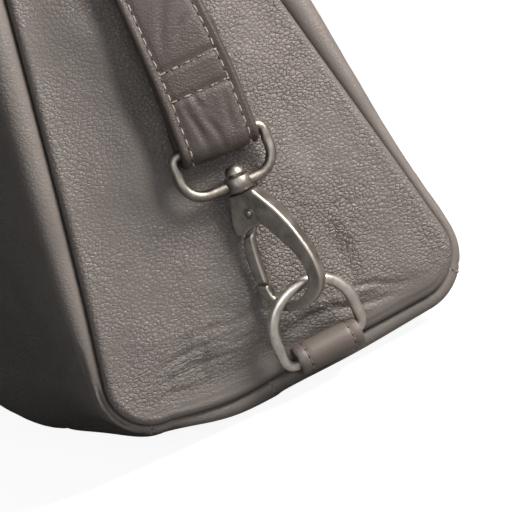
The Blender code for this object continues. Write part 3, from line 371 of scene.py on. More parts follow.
# broad dents: centre across and up, reach, depth as a share of the bulge
dents = {
    "front": ((-0.45, 0.42, 0.22, 0.16), (0.38, 0.66, 0.20, 0.14), (0.62, 0.22, 0.14, 0.10)),
    "back": ((0.40, 0.38, 0.22, 0.14), (-0.35, 0.64, 0.22, 0.15)),
    "side": ((0.45, 0.10, 0.07, 0.07), (-0.30, 0.34, 0.12, 0.06), (0.20, 0.62, 0.15, 0.08)),
    "base": (),
}
# creases in mm on each panel's own plane: two ends, width, depth; sides read (y, z), the others (x, z)
creases = {
    "side": (
        (15, 22.5, 33, 15.2, 1.5, 1.05), (24, 24.5, 44, 17.5, 1.2, 0.50), (40, 14.0, 52, 11.5, 1.2, 0.35),
        (-14, 33.0, 4, 28.0, 1.6, 0.45), (-44, 24.0, -30, 36.0, 1.5, 0.40), (-34, 22.0, -20, 36.0, 1.6, 0.42),
        (-53, 25.5, -17, 23.0, 1.0, 0.32), (-50, 20.0, -24, 18.5, 0.9, 0.28),
        (-46, 30.0, -18, 29.0, 1.0, 0.30),
        (-40, 35.0, -12, 32.0, 1.1, 0.26), (-36, 15.5, -12, 17.0, 0.8, 0.20),
        (-52, 33.0, -39, 37.0, 1.0, 0.28),
        (-59, 46.0, -45, 42.5, 1.5, 0.42), (-60, 53.0, -50, 50.0, 1.2, 0.30),
        (-22, 27.0, -6, 24.5, 0.9, 0.24),
        (21, 19.0, 40, 14.6, 0.9, 0.75), (19, 22.5, 36, 18.8, 1.0, 0.55), (22, 15.6, 36, 12.2, 0.8, 0.45),
        (-2, 21.5, 22, 20.0, 1.8, 0.80), (-6, 16.0, 14, 15.8, 1.4, 0.34), (50, 34.0, 60, 28.0, 1.6, 0.35),
        (-20, 176.0, 6, 170.0, 3.0, 0.25),
    ),
    "front": ((139.2, 46.0, 140.6, 20.0, 1.3, 0.75), (-139.2, 44.0, -140.4, 22.0, 1.3, 0.70),
              (118.0, 40.0, 92.0, 26.0, 3.0, 0.45), (-60.0, 120.0, -20.0, 96.0, 4.0, 0.50),
              (30.0, 60.0, 74.0, 48.0, 4.0, 0.45), (-108.0, 210.0, -84.0, 180.0, 3.4, 0.40)),
    "back": ((137.0, 40.0, 132.0, 24.0, 1.8, 0.45), (-20.0, 130.0, 34.0, 112.0, 4.0, 0.50),
             (70.0, 52.0, 110.0, 40.0, 3.4, 0.40), (-96.0, 80.0, -70.0, 60.0, 3.4, 0.40)),
    "base": (),
}


def sideLean():
    return atan((bag["baseDepth"] - bag["rimDepth"]) / 2 / (bag["rimHeight"] - bag["seamHeight"]))


def cornerTangent():
    return bag["cornerRadius"] * tan((pi / 2 + sideLean()) / 2)


def heightShare(z):
    return (z - bag["seamHeight"]) / (bag["rimHeight"] - bag["seamHeight"])


def halfWidthAt(z):
    return (bag["baseWidth"] + (bag["rimWidth"] - bag["baseWidth"]) * heightShare(z)) / 2


def wallStation(face, share):
    # face -1 is the front, 1 the back; share 0 is the lower corner, 1 the rim
    lean, side = sideLean(), "front" if face < 0 else "back"
    read = lambda column: readCurve(wallCurves["height"], wallCurves[column], share)
    startY = bag["baseDepth"] / 2 - cornerTangent() * sin(lean)
    startZ = baseSeamZ(0.0 if face < 0 else 1.0) + cornerTangent() * cos(lean)
    y = startY + (bag["rimDepth"] / 2 - startY) * share - bag["seamBow"] * read(side + "Bow")
    z = startZ + (bag["rimHeight"] - startZ) * share
    half = halfWidthAt(z)
    return SimpleNamespace(
        y=face * y, z=z, outY=face * cos(lean), outZ=sin(lean), half=half, reach=half,
        roll=bag["roll"] * read(side + "Roll"), sideRoll=bag["sideRoll"] * read(side + "Side"),
        level=bag["bulge"] * read(side + "Bulge"), allowance=bag["allowance"] * read("allowance"),
        fromJoin=99.0, cubic=smoothStep(share / 0.22))


def baseSeamZ(share):
    return bag["seamHeight"] + bag["baseLift"] * readCurve(baseCurves["across"], baseCurves["lift"], share)


def baseStation(share):
    z = baseSeamZ(share)
    y = (bag["baseDepth"] / 2 - cornerTangent()) * (2 * share - 1)
    return SimpleNamespace(
        y=y, z=z, outY=0.0, outZ=-1.0, half=halfWidthAt(z), level=z, sideRoll=bag["sideRoll"],
        roll=bag["roll"] * readCurve(baseCurves["across"], baseCurves["roll"], share),
        reach=bag["baseReach"] * readCurve(baseCurves["across"], baseCurves["reach"], share),
        allowance=bag["allowance"], fromJoin=99.0, cubic=1.0)


def cornerStation(face, share):
    wall, base = wallStation(face, 0.0), baseStation(0.0 if face < 0 else 1.0)
    start = pi - sideLean()
    angle = start + (1.5 * pi - start) * share
    z = base.z + bag["cornerRadius"] * (1 + sin(angle))
    y = bag["baseDepth"] / 2 - cornerTangent() - bag["cornerRadius"] * cos(angle)
    mix = smoothStep(share)
    mixed = {key: getattr(wall, key) + (getattr(base, key) - getattr(wall, key)) * mix
             for key in ("roll", "sideRoll", "level", "reach", "allowance")}
    mixed["cubic"] = smoothStep((share - 0.55) / 0.45)
    onFloor = (base.z + bag["cornerRadius"]) / max(-sin(angle), 0.2) - bag["cornerRadius"]
    fill = bag["frontFill"] if face < 0 else bag["cornerFill"]
    mixed["level"] = min(mixed["level"] + fill * sin(pi * share), onFloor)
    joinAt = bag["frontJoin"] if face < 0 else bag["backJoin"]
    mixed["fromJoin"] = (share - joinAt) * bag["cornerRadius"] * (1.5 * pi - start) / mm
    return SimpleNamespace(y=face * y, z=z, outY=-face * cos(angle), outZ=sin(angle), half=halfWidthAt(z),
        **mixed)


def wallShares(rows):
    return [(i / rows) ** 1.5 for i in range(rows + 1)]


def dentDepth(kind, across, up):
    depth = 0.0
    for centre, height, reach, share in dents[kind]:
        distance = sqrt((across - centre) ** 2 / 2 + (up - height) ** 2) / reach
        depth += share * bag["bulge"] * smoothStep(1 - distance)
    return depth


def besideLine(a, b, a0, b0, a1, b1):
    # share of the way along a line, and the distance off it
    alongA, alongB = a1 - a0, b1 - b0
    length = sqrt(alongA ** 2 + alongB ** 2)
    t = ((a - a0) * alongA + (b - b0) * alongB) / length ** 2
    return t, ((a - a0) * alongB - (b - b0) * alongA) / length


def creaseRelief(kind, a, b):
    # a crease is a groove with a soft lip on both sides; it wavers a little and fades at its ends
    relief = 0.0
    for a0, b0, a1, b1, width, depth in creases[kind]:
        t, off = besideLine(a, b, a0, b0, a1, b1)
        if not 0 < t < 1:
            continue
        off += 0.5 * width * sin(t * 7.0 + a0)
        if abs(off) <= 5 * width:
            groove = 0.55 * bell(abs(off) - 1.9 * width, width) - bell(off, width * 0.8)
            relief += depth * sin(pi * t) ** 0.7 * groove
    return relief * mm


def sidePuff(fromFront, fromBack, fromBase):
    # the gusset stands up along its seams, with a smooth roll over the base seam and a valley above it
    puff = 1.1 * bell(fromBack - 9, 7) + 0.6 * bell(fromFront - 8, 6)
    puff = puff * smoothStep(fromBase / 12) + 0.75 * bell(fromBase - 3.6, 2.6)
    return (puff - 0.65 * bell(fromBase - 10.5, 4.5)) * mm


def softRelief(seed, a, b, reach, height):
    # broad unevenness of hide that is only held at its seams
    broad = noise.noise(Vector((a / reach, b / reach, seed)))
    fine = noise.noise(Vector((2.1 * a / reach, 2.1 * b / reach, seed + 9)))
    return height * (broad + 0.5 * fine)


def bulgeProfile(station, left):
    # height (0 at the roll, 1 in the middle) and steepness, where left is the share of the reach still to go
    power, bellPower = bag["bulgePower"], bag["bellPower"]
    wave = max((1 + cos(pi * left)) / 2, 0.0)
    height = station.cubic * (1 - left ** power) + (1 - station.cubic) * wave ** bellPower
    steepness = station.cubic * power * left ** (power - 1)
    steepness += (1 - station.cubic) * bellPower * wave ** (bellPower - 1) * pi / 2 * sin(pi * left)
    return height, steepness


def panelSection(station, faceShares, rollSteps):
    turnIn = bag["seamTurn"]
    along, off = Vector((-cos(turnIn), -sin(turnIn))), Vector((-sin(turnIn), cos(turnIn)))
    seam = Vector((station.half, 0)) + off * bag["gap"] / 2
    centre = seam + off * station.roll
    slope = 0.0
    for _ in range(4):
        drop = station.level - (centre.y + station.roll * cos(slope))
        slope = atan(bulgeProfile(station, 1.0)[1] * drop / station.reach)
    end = Vector((centre.x + station.roll * sin(slope), centre.y + station.roll * cos(slope)))
    rise = station.level - end.y
    points = [(seam + along * station.allowance, -off, 0.0)]
    for i in range(rollSteps + 1):
        turn = turnIn + (pi - slope - turnIn) * i / rollSteps
        arm = Vector((sin(turn), -cos(turn)))
        points.append((centre + arm * station.roll, arm, 0.35 * i / rollSteps))
    for share in faceShares:
        inward = end.x * share
        left = 1 - min(inward / station.reach, 1.0)
        height, steepness = bulgeProfile(station, left)
        tilt = atan(rise / station.reach * steepness)
        place = Vector((end.x - inward, end.y + rise * height))
        points.append((place, Vector((sin(tilt), cos(tilt))), min(0.35 + share * 2.5, 0.8)))
    return points


def panelGrids(kind, stations):
    faceShares = [((i + 1) / detail["faceColumns"]) ** 1.45 for i in range(detail["faceColumns"])]
    outer, inner, grain = [], [], []
    for station in stations:
        half = panelSection(station, faceShares, detail["rollSteps"])
        whole = half + [(Vector((-p.x, p.y)), Vector((-n.x, n.y)), g) for p, n, g in reversed(half[:-1])]
        up = heightShare(station.z)
        rows = ([], [], [])
        for index, (point, normal, grainHere) in enumerate(whole):
            fromSeam = min(index, len(whole) - 1 - index) / detail["rollSteps"]
            held = smoothStep(fromSeam - 0.25)
            across = point.x / station.half
            lift = -dentDepth(kind, across, up)
            lift += held * creaseRelief(kind, point.x / mm, station.z / mm)
            if kind != "base":
                lift += smoothStep(fromSeam - 1) * softRelief(3.0, point.x, station.z, 46 * mm, 0.9 * mm)
                lift += held * softRelief(7.0, point.x * 0.5, station.z, 7 * mm, 0.16 * mm)
            else:
                lift += held * (1 - smoothStep(fromSeam - 1.1)) * overlapStep(point, station) * mm
            lift -= held * 0.38 * bell(station.fromJoin, 0.55) * mm
            if kind == "front":
                lift += cornerPucker(fromSeam, station.z / mm) * mm
            for row, inset in zip(rows[:2], (0.0, bag["leather"])):
                x, out = point.x - normal.x * inset, point.y - normal.y * inset + lift * normal.y
                x += lift * normal.x
                row.append(Vector((x, station.y + station.outY * out, station.z + station.outZ * out)))
            rows[2].append(grainHere)
        for grid, row in zip((outer, inner, grain), rows):
            grid.append(row)
    return outer, inner, grain


def cornerPucker(fromSeam, z):
    # the front's roll is gathered a little just above each lower corner
    height = smoothStep((z - 15) / 5) * smoothStep((36 - z) / 9)
    first, second = fromSeam - 0.60 - 0.02 * sin(z / 3), fromSeam - 0.42 - 0.002 * z
    relief = -0.85 * bell(first, 0.085) + 0.26 * bell(abs(first) - 0.20, 0.09)
    return height * (relief - 0.30 * bell(second, 0.07) * smoothStep((40 - z) / 8))


overlap = {"place": -12 * mm, "step": 0.35, "soft": 0.35 * mm, "bend": 2.2 * mm, "fade": 9.0}


def overlapStep(point, station):
    # the base strip is pieced from two lengths; the join curves a little over the roll
    place = overlap["place"] + overlap["bend"] * sin(min(abs(point.y) / (8 * mm), 1.0) * pi / 2)
    off = (station.y - place) / overlap["soft"]
    rise = 1 / (1 + exp(max(min(off, 30), -30)))
    return overlap["step"] * rise * bell(min(station.y - place, 0) / mm, overlap["fade"])


def buildPanels():
    for kind, face in (("front", -1), ("back", 1)):
        stations = [wallStation(face, share) for share in reversed(wallShares(detail["wallRows"]))]
        joinAt = bag["frontJoin"] if face < 0 else bag["backJoin"]
        stations += [cornerStation(face, joinAt * i / detail["cornerRows"])
            for i in range(1, detail["cornerRows"] + 1)]
        outer, inner, grain = panelGrids(kind, stations)
        panel = shellPiece("leather_" + kind, outer, inner, {"grain": grain})
        dress(panel, bodyLeather, (kind + "_panel",))
    # the base takes in what the front and back leave of the lower corners
    rows, steps = detail["cornerRows"], detail["baseRows"]
    frontStart, backStart = bag["frontJoin"], bag["backJoin"]
    stations = [cornerStation(-1, frontStart + (1 - frontStart) * i / rows) for i in range(rows)]
    stations += [baseStation(i / steps) for i in range(steps + 1)]
    stations += [cornerStation(1, 1 - (1 - backStart) * i / rows) for i in range(1, rows + 1)]
    outer, inner, grain = panelGrids("base", stations)
    dress(shellPiece("leather_base", outer, inner, {"grain": grain}), bodyLeather,
        ("base_panel",))


def sideEdge(station, steps):
    turnIn = bag["seamTurn"]
    along, off = Vector((-cos(turnIn), -sin(turnIn))), Vector((-sin(turnIn), cos(turnIn)))
    seam = Vector((station.half, 0)) - off * bag["gap"] / 2
    centre = seam - off * station.sideRoll
    points = [seam + along * station.allowance]
    for i in range(steps + 1):
        turn = (pi / 2 + turnIn) * i / steps - turnIn
        points.append(centre + Vector((sin(turn), cos(turn))) * station.sideRoll)
    return [Vector((p.x, station.y + station.outY * p.y, station.z + station.outZ * p.y)) for p in points]


def sideFaceX(y, z):
    up = heightShare(z)
    across = y / (bag["baseDepth"] / 2 + (bag["rimDepth"] - bag["baseDepth"]) / 2 * up)
    flat = halfWidthAt(z) + bag["sideRoll"] * (1 + sin(bag["seamTurn"]))
    swell = bag["sideBulge"] * max(1 - across ** 2, 0.0) * sin(pi * min(max(up, 0.0), 1.0) ** 0.6)
    return flat + swell - dentDepth("side", across, up)


def creaseZoneAt(y, z):
    # loose grain above the base seam at the front, and around the tab
    low = bell((y + 34 * mm) / (20 * mm), 1.0) * bell((z - 25 * mm) / (11 * mm), 1.0)
    tabSide = 0.3 * bell((y - 28 * mm) / (10 * mm), 1.0) * bell((z - 17 * mm) / (4 * mm), 1.0)
    return min(0.8 * low + tabSide, 1.0)


def grainAt(y, z):
    # pebbles are strongest on the half towards the back, and fade on the smooth roll over the base seam
    towardsBack = smoothStep((y + 40 * mm) / (70 * mm))
    overRoll = smoothStep((z - bag["seamHeight"] - 2 * mm) / (9 * mm))
    return (0.45 + 0.55 * towardsBack) * overRoll


def buildSides():
    corner, wall, base = detail["cornerRows"], detail["wallRows"], detail["baseRows"]
    shares = wallShares(wall)
    frontCorner = [cornerStation(-1, i / corner) for i in range(corner + 1)]
    backCorner = [cornerStation(1, i / corner) for i in range(corner + 1)]
    stations = [wallStation(-1, s) for s in reversed(shares)][:-1] + frontCorner[:-1]
    stations += [baseStation(i / base) for i in range(base + 1)] + backCorner[::-1][1:]
    stations += [wallStation(1, s) for s in shares][1:]
    edges = [sideEdge(station, detail["edgeSteps"]) for station in stations]
    rows = wall + corner // 2
    columns = len(stations) - 1 - 2 * rows
    border = [edge[-1] for edge in edges]
    front, low, back = border[:rows + 1], border[rows:rows + columns + 1], border[rows + columns:][::-1]
    grid = []
    for i in range(rows + 1):
        v, row = i / rows, []
        for j in range(columns + 1):
            u = j / columns
            rim = front[0].lerp(back[0], u)
            shared = rim.lerp(front[-1].lerp(back[-1], u), v)
            point = front[i].lerp(back[i], u) + rim.lerp(low[j], v) - shared
            if 0 < j < columns and i < rows:
                inside = min(u, 1 - u) * 4
                flush = front[i].lerp(back[i], u).x
                swell = smoothStep(inside * min(1.0, (1 - v) * 5))
                point.x = flush + (sideFaceX(point.y, point.z) - flush) * swell
                held = smoothStep(min(inside, (1 - v) * 12))
                wide = (front[i] - back[i]).length / mm
                fromBase = (1 - v) * (rim - low[j]).length / mm
                underTab = 1 - 0.8 * bell(point.y / mm - 8, 13)
                point.x += held * sidePuff(wide * u, wide * (1 - u), fromBase) * underTab
                point.x += held * creaseRelief("side", point.y / mm, point.z / mm)
                point.x += held * softRelief(5.0, point.y, point.z, 25 * mm, 1.25 * mm)
                point.x += held * softRelief(2.0, point.y, point.z, 6.5 * mm, 0.17 * mm)
            row.append(point)
        grid.append(row)
    bm = bmesh.new()
    patch = [[bm.verts.new(p) for p in row] for row in grid]
    for i in range(rows):
        for j in range(columns):
            bm.faces.new((patch[i][j], patch[i][j + 1], patch[i + 1][j + 1], patch[i + 1][j]))
    loop = [row[0] for row in patch] + patch[rows][1:-1] + [row[columns] for row in reversed(patch)]
    strips = [[bm.verts.new(p) for p in edge[:-1]] + [vert] for edge, vert in zip(edges, loop)]
    for first, second in zip(strips, strips[1:]):
        for i in range(len(first) - 1):
            bm.faces.new((first[i], first[i + 1], second[i + 1], second[i]))
    bmesh.ops.recalc_face_normals(bm, faces=bm.faces)
    if patch[rows // 2][columns // 2].normal.x < 0:
        bmesh.ops.reverse_faces(bm, faces=bm.faces)
    mesh = bpy.data.meshes.new("leather_side_right")
    bm.to_mesh(mesh)
    bm.free()
    for key, rule in (("grain", grainAt), ("crease", creaseZoneAt)):
        values = [rule(vert.co.y, vert.co.z) for vert in mesh.vertices]
        mesh.attributes.new(key, "FLOAT", "POINT").data.foreach_set("value", values)
    mesh.shade_smooth()
    right = linkObject("leather_side_right", mesh)
    wallMaker = right.modifiers.new("leather", "SOLIDIFY")
    wallMaker.thickness, wallMaker.offset = bag["leather"], -1
    applyModifiers(right)
    left = mirrorPiece(right, "leather_side_left")
    dress(right, bodyLeather, ("side_panel_right",))
    dress(left, bodyLeather, ("side_panel_left",))


buildPanels()
buildSides()
print("leather panels built")


# Where the fittings hang

fitting = {
    "ringWire": 3.9 * mm, "ringWidth": 33 * mm, "ringHeight": 28.5 * mm, "ringTilt": radians(15.5),
    "ringRoll": radians(4.5), "ringShift": 0.4 * mm,
    "tabPlay": 1.35 * mm, "tabWall": 1.6 * mm, "tabLength": 22.8 * mm,
    "tabOffset": 8.6 * mm, "tabRise": 2.4 * mm,
    "swivelWire": 3.5 * mm, "swivelWidth": 35.4 * mm, "swivelHeight": 18.8 * mm, "swivelShift": 1.8 * mm,
    "collarRadius": 4.3 * mm, "collarHeight": 5.2 * mm, "postRadius": 1.9 * mm, "headRadius": 3.3 * mm,
    "hookLength": 41.6 * mm, "hookTop": 6.0 * mm, "hookBend": 3.6 * mm, "hookRound": 0.7 * mm,
    "hookYaw": radians(45), "hookOffset": 4 * mm, "hookStandoff": 13 * mm,
    "leanOut": 0.057, "leanBack": 0.078,  # run of the hanging hook for each unit that it rises
    "gateThickness": 3.2 * mm, "gateRoot": 1.8 * mm, "pinRadius": 0.9 * mm,
}


def frameMatrix(origin, across, up):
    across, up = across.normalized(), up.normalized()
    turn = Matrix((across, across.cross(up), up)).transposed()
    return Matrix.Translation(origin) @ turn.to_4x4()


def tabCentre():
    outer = fitting["ringWire"] / 2 + fitting["tabPlay"] + fitting["tabWall"]
    z = bag["seamHeight"] + fitting["tabRise"]
    return Vector((sideFaceX(fitting["tabOffset"], z + outer) + bag["gap"] + outer, fitting["tabOffset"], z))


def ringFrame():
    roll, tilt = fitting["ringRoll"], fitting["ringTilt"]
    up = Vector((sin(tilt), -sin(roll) * cos(tilt), cos(roll) * cos(tilt)))
    return frameMatrix(tabCentre() - Vector((0, fitting["ringShift"], 0)),
        Vector((0, cos(roll), sin(roll))), up)


def hangingFrame(yaw):
    z = bag["seamHeight"] + fitting["hookLength"] * 1.45
    up = Vector((-fitting["leanOut"], fitting["leanBack"], 1)).normalized()
    across = Matrix.Rotation(-yaw, 3, up) @ Vector((0, 1, -up.y)).normalized()
    return frameMatrix(Vector((halfWidthAt(z) + fitting["hookStandoff"], fitting["hookOffset"], z)),
        across, up)


def placePiece(piece, place):
    piece.data.transform(place)
    piece.data.flip_normals()  # the fittings' frame is left-handed
    return piece


def roundedPath(corners, spacing):
    path = []
    for i, (x, z, radius) in enumerate(corners):
        here = Vector((x, 0, z))
        before = Vector((corners[i - 1][0], 0, corners[i - 1][1])) - here
        after = Vector((corners[(i + 1) % len(corners)][0], 0, corners[(i + 1) % len(corners)][1])) - here
        half = before.angle(after) / 2
        centre = here + (before.normalized() + after.normalized()).normalized() * (radius / sin(half))
        start = here + before.normalized() * (radius / tan(half)) - centre
        finish = here + after.normalized() * (radius / tan(half)) - centre
        sweep = pi - 2 * half
        steps = max(int(radius * sweep / spacing), 4)
        for k in range(steps + 1):
            turn = sweep * k / steps
            path.append(centre + (start * sin(sweep - turn) + finish * sin(turn)) / sin(sweep))
    return path


def evenLoop(path, spacing, passes):
    # closed path in equal steps, its corners eased by averaging each point with its neighbours
    marks = [0.0]
    for here, ahead in zip(path, path[1:] + path[:1]):
        marks.append(marks[-1] + (ahead - here).length)
    count, k, loop = int(marks[-1] / spacing), 0, []
    for i in range(count):
        at = marks[-1] * i / count
        while marks[k + 1] <= at:
            k += 1
        loop.append(path[k].lerp(path[(k + 1) % len(path)], (at - marks[k]) / (marks[k + 1] - marks[k])))
    for _ in range(passes):
        loop = [(loop[i - 1] + 2 * loop[i] + loop[(i + 1) % count]) / 4 for i in range(count)]
    return loop


def tubeGrid(path, radius, sides):
    normal, grid = Vector((0, 1, 0)), []
    for i, point in enumerate(path):
        side = (path[(i + 1) % len(path)] - path[i - 1]).normalized().cross(normal)
        turns = [2 * pi * k / sides for k in range(sides)]
        grid.append([point + (side * cos(turn) + normal * sin(turn)) * radius for turn in turns])
    return grid


def turnedPiece(name, profile, sides):
    angles = [2 * pi * (k + 0.5) / sides for k in range(sides)]
    rings = []
    for radius, height in profile:
        rings.append([Vector((cos(a) * radius, sin(a) * radius, height)) for a in angles])
    return gridPiece(name, rings, wrapColumns=True, capEnds=True)


def bothSides(right, name, finish, node, bodies=("bag", "bag")):
    left = mirrorPiece(right, name + "_left")
    right.name = name + "_right"
    dress(right, finish, (node + "_right",), bodies[0])
    dress(left, finish, (node + "_left",), bodies[1])


def buildRings():
    half = (fitting["ringWidth"] - fitting["ringWire"]) / 2
    height, foot, crown = fitting["ringHeight"] - fitting["ringWire"], 3.2 * mm, half * 0.96
    path = roundedPath([(-half, 0, foot), (half, 0, foot), (half, height, crown), (-half, height, crown)],
        0.55 * mm)
    path = evenLoop(path, 0.6 * mm, 9)
    ring = gridPiece("ring", tubeGrid(path, fitting["ringWire"] / 2, 28), wrapRows=True, wrapColumns=True)
    bothSides(placePiece(ring, ringFrame()), "nickel_d_ring", ringMetal, "d_ring")

    low = bag["gap"] + fitting["collarHeight"] / 2
    high = low + fitting["swivelHeight"] - fitting["swivelWire"]
    half = (fitting["swivelWidth"] - fitting["swivelWire"]) / 2
    left, right = -half - fitting["swivelShift"], half - fitting["swivelShift"]
    wide, tight = 7.6 * mm, 2.3 * mm  # its lower and upper corners
    corners = [(left, low, wide), (right, low, wide), (right, high, tight), (left, high, tight)]
    path = evenLoop(roundedPath(corners, 0.5 * mm), 0.5 * mm, 4)
    loop = gridPiece("loop", tubeGrid(path, fitting["swivelWire"] / 2, 26), wrapRows=True, wrapColumns=True)
    radius, bottom, top = fitting["collarRadius"], bag["gap"], bag["gap"] + fitting["collarHeight"]
    profile = [(radius - 0.9 * mm, bottom), (radius - 0.35 * mm, bottom + 0.12 * mm),
        (radius, bottom + 0.6 * mm)]
    profile += [(radius + 0.08 * mm, (bottom + top) / 2), (radius, top - 0.7 * mm)]
    profile += [(radius - 0.35 * mm, top - 0.15 * mm), (radius - 1.0 * mm, top)]
    booleanStep(loop, turnedPiece("collar", profile, 40), "UNION")
    hole = fitting["postRadius"] + bag["gap"]
    booleanStep(loop, turnedPiece("hole", [(hole, -2 * mm), (hole, top + 2 * mm)], 32), "DIFFERENCE")
    bothSides(placePiece(loop, hangingFrame(0)), "nickel_swivel_ring", hookMetal,
        "swivel_ring")


# Snap hook: outline points across and down from the top of its body, as shares of its length
hookOuter = (
    (0.130, 0.000), (0.184, 0.079), (0.261, 0.197), (0.319, 0.310), (0.368, 0.439), (0.402, 0.556),
    (0.420, 0.650), (0.423, 0.736), (0.412, 0.820), (0.370, 0.895), (0.300, 0.958), (0.210, 0.992),
    (0.110, 1.003), (0.010, 0.988), (-0.070, 0.945), (-0.125, 0.880), (-0.163, 0.788), (-0.162, 0.722))
hookInner = (
    (-0.066, 0.750), (-0.052, 0.838), (0.000, 0.908), (0.085, 0.934), (0.168, 0.917), (0.243, 0.868),
    (0.288, 0.806), (0.302, 0.745), (0.300, 0.683), (0.280, 0.609), (0.244, 0.522), (0.182, 0.418),
    (0.129, 0.316))
hookCheek = (
    (0.090, 0.277), (-0.017, 0.292), (-0.072, 0.316), (-0.125, 0.325), (-0.150, 0.307), (-0.157, 0.237),
    (-0.129, 0.129), (-0.098, 0.000))
gatePivot = (0.022, 0.170)
gateRight = ((-0.070, 0.735), (-0.066, 0.655), (-0.058, 0.500), (-0.036, 0.335))
gateLeft = ((-0.122, 0.345), (-0.159, 0.480), (-0.166, 0.640), (-0.160, 0.706))


def hookPoint(point):
    return Vector((point[0] * fitting["hookLength"], 0, -point[1] * fitting["hookLength"]))


def throughPoints(points, i, t):
    # smooth curve through the points, at share t of the way from point i to the next
    a, b, c, d = [points[min(max(i + k, 0), len(points) - 1)] for k in (-1, 0, 1, 2)]
    return b + 0.5 * t * ((c - a) + t * ((2 * a - 5 * b + 4 * c - d) + t * (3 * (b - c) + d - a)))


def softCurve(points, steps):
    # open curve through the points, with its ends kept
    shares = [k / steps for k in range(steps)]
    return [throughPoints(points, i, t) for i in range(len(points) - 1) for t in shares] + [points[-1]]


def inwardShift(outline, i, distance):
    before = (outline[i] - outline[i - 1]).normalized()
    after = (outline[(i + 1) % len(outline)] - outline[i]).normalized()
    tangent = (before + after).normalized()
    return Vector((tangent.z, 0, -tangent.x)) * distance / max(sqrt((1 + before.dot(after)) / 2), 0.6)


def plateSolid(name, outline, topHalf, bendHalf, radius, steps):
    # plate in the XZ plane that thins towards the bend; its long edges are rounded over
    rings, edge = [], []
    sides = [(-1, k) for k in range(steps, -1, -1)] + [(1, k) for k in range(steps + 1)]
    for side, k in sides:
        turn = pi / 2 * k / steps
        inset, fall = radius * (1 - cos(turn)), radius * (1 - sin(turn))
        ring = []
        for i, point in enumerate(outline):
            half = topHalf + (bendHalf - topHalf) * -point.z / fitting["hookLength"]
            ring.append(point + Vector((0, side * (half - fall), 0)) + inwardShift(outline, i, inset))
        rings.append(ring)
        edge.append([sin(pi * k / steps)] * len(outline))
    return gridPiece(name, rings, wrapColumns=True, capEnds=True, attributes={"edge": edge})


def discOutline(centre, radius, sides):
    turns = [2 * pi * (k + 0.5) / sides for k in range(sides)]
    return [centre + Vector((cos(turn), 0, sin(turn))) * radius for turn in turns]


def flatPlate(name, outline, half):
    rings = [[p + Vector((0, out, 0)) for p in outline] for out in (-half, half)]
    return gridPiece(name, rings, wrapColumns=True, capEnds=True)


castLook = {
    "voxel": 0.27 * mm, "hookPasses": 9, "gatePasses": 12, "edgeFrom": 0.55 * mm, "edgeWidth": 0.45 * mm,
}


def castPiece(piece, passes, topHalf, bendHalf):
    # as a cast piece has no sharp edge, the plate is skinned evenly and eased; its rounded edges are marked
    skin = piece.modifiers.new("skin", "REMESH")
    skin.mode, skin.voxel_size = "VOXEL", castLook["voxel"]
    ease = piece.modifiers.new("ease", "SMOOTH")
    ease.factor, ease.iterations = 0.5, passes
    applyModifiers(piece)
    mesh = piece.data
    edges = []
    for vert in mesh.vertices:
        half = topHalf + (bendHalf - topHalf) * -vert.co.z / fitting["hookLength"]
        edges.append(bell(half - abs(vert.co.y) - castLook["edgeFrom"], castLook["edgeWidth"]))
    mesh.attributes.new("edge", "FLOAT", "POINT").data.foreach_set("value", edges)
    mesh.shade_smooth()
    return piece


def buildHook():
    outline = []
    for points in (hookOuter, hookInner, hookCheek):
        outline += softCurve([hookPoint(p) for p in points], 5)
    body = plateSolid("hook", outline, fitting["hookTop"] / 2, fitting["hookBend"] / 2,
        fitting["hookRound"], 3)
    slot = [hookPoint(p) for p in ((-0.24, 0.095), (0.095, 0.095), (0.095, 0.42), (-0.24, 0.42))]
    booleanStep(body, flatPlate("slot", slot, fitting["gateRoot"] / 2 + bag["gap"]), "DIFFERENCE")
    castPiece(body, castLook["hookPasses"], fitting["hookTop"] / 2, fitting["hookBend"] / 2)
    # the swivel's post with its domed head
    head, cap, post = fitting["collarHeight"] + 3 * bag["gap"], fitting["headRadius"], fitting["postRadius"]
    profile = [(post, -1.2 * mm), (post, head), (cap - 0.2 * mm, head + 0.02 * mm), (cap, head + 0.25 * mm)]
    for turn in (0.2, 0.4, 0.62, 0.85, 1.05, 1.25, 1.42, 1.54):
        profile.append((cap * cos(turn), head + cap * sin(turn) * 0.98))
    parts = [turnedPiece("post", profile, 32)]
    # rivet on both cheeks: a shallow ring round a small dome, as radius and lift in mm
    pivot = hookPoint(gatePivot)
    thick = fitting["hookTop"] / 2 + (fitting["hookBend"] - fitting["hookTop"]) / 2 * gatePivot[1]
    dome = ((0.3, 0.34), (0.65, 0.28), (0.95, 0.10), (1.15, -0.2), (1.45, -0.22), (1.6, 0.06), (1.85, 0.10),
            (2.05, -0.25))
    turns = [2 * pi * k / 32 for k in range(32)]
    for side in (-1, 1):
        rings = []
        for radius, lift in dome:
            out = side * (thick + lift * mm)
            arms = [Vector((cos(turn) * radius * mm, out, sin(turn) * radius * mm)) for turn in turns]
            rings.append([pivot + arm for arm in arms])
        rings.append([p + Vector((0, -side * 0.6 * mm, 0)) for p in rings[-1]])
        well = discOutline(pivot + Vector((0, side * thick, 0)), 1.95 * mm, 32)
        booleanStep(body, flatPlate("well", well, 0.28 * mm), "DIFFERENCE")
        parts.append(gridPiece("rivet", rings, wrapColumns=True, capEnds=True))
    for part in parts:
        joinKeeping(body, part)
    placePiece(body, hangingFrame(fitting["hookYaw"]))
    bothSides(body, "nickel_snap_hook", hookMetal, "snap_hook")


def joinKeeping(first, second):
    # adds the second's faces to the first, which keeps its attributes
    bm = bmesh.new()
    bm.from_mesh(first.data)
    bm.from_mesh(second.data)
    bm.to_mesh(first.data)
    bm.free()
    bpy.data.objects.remove(second)


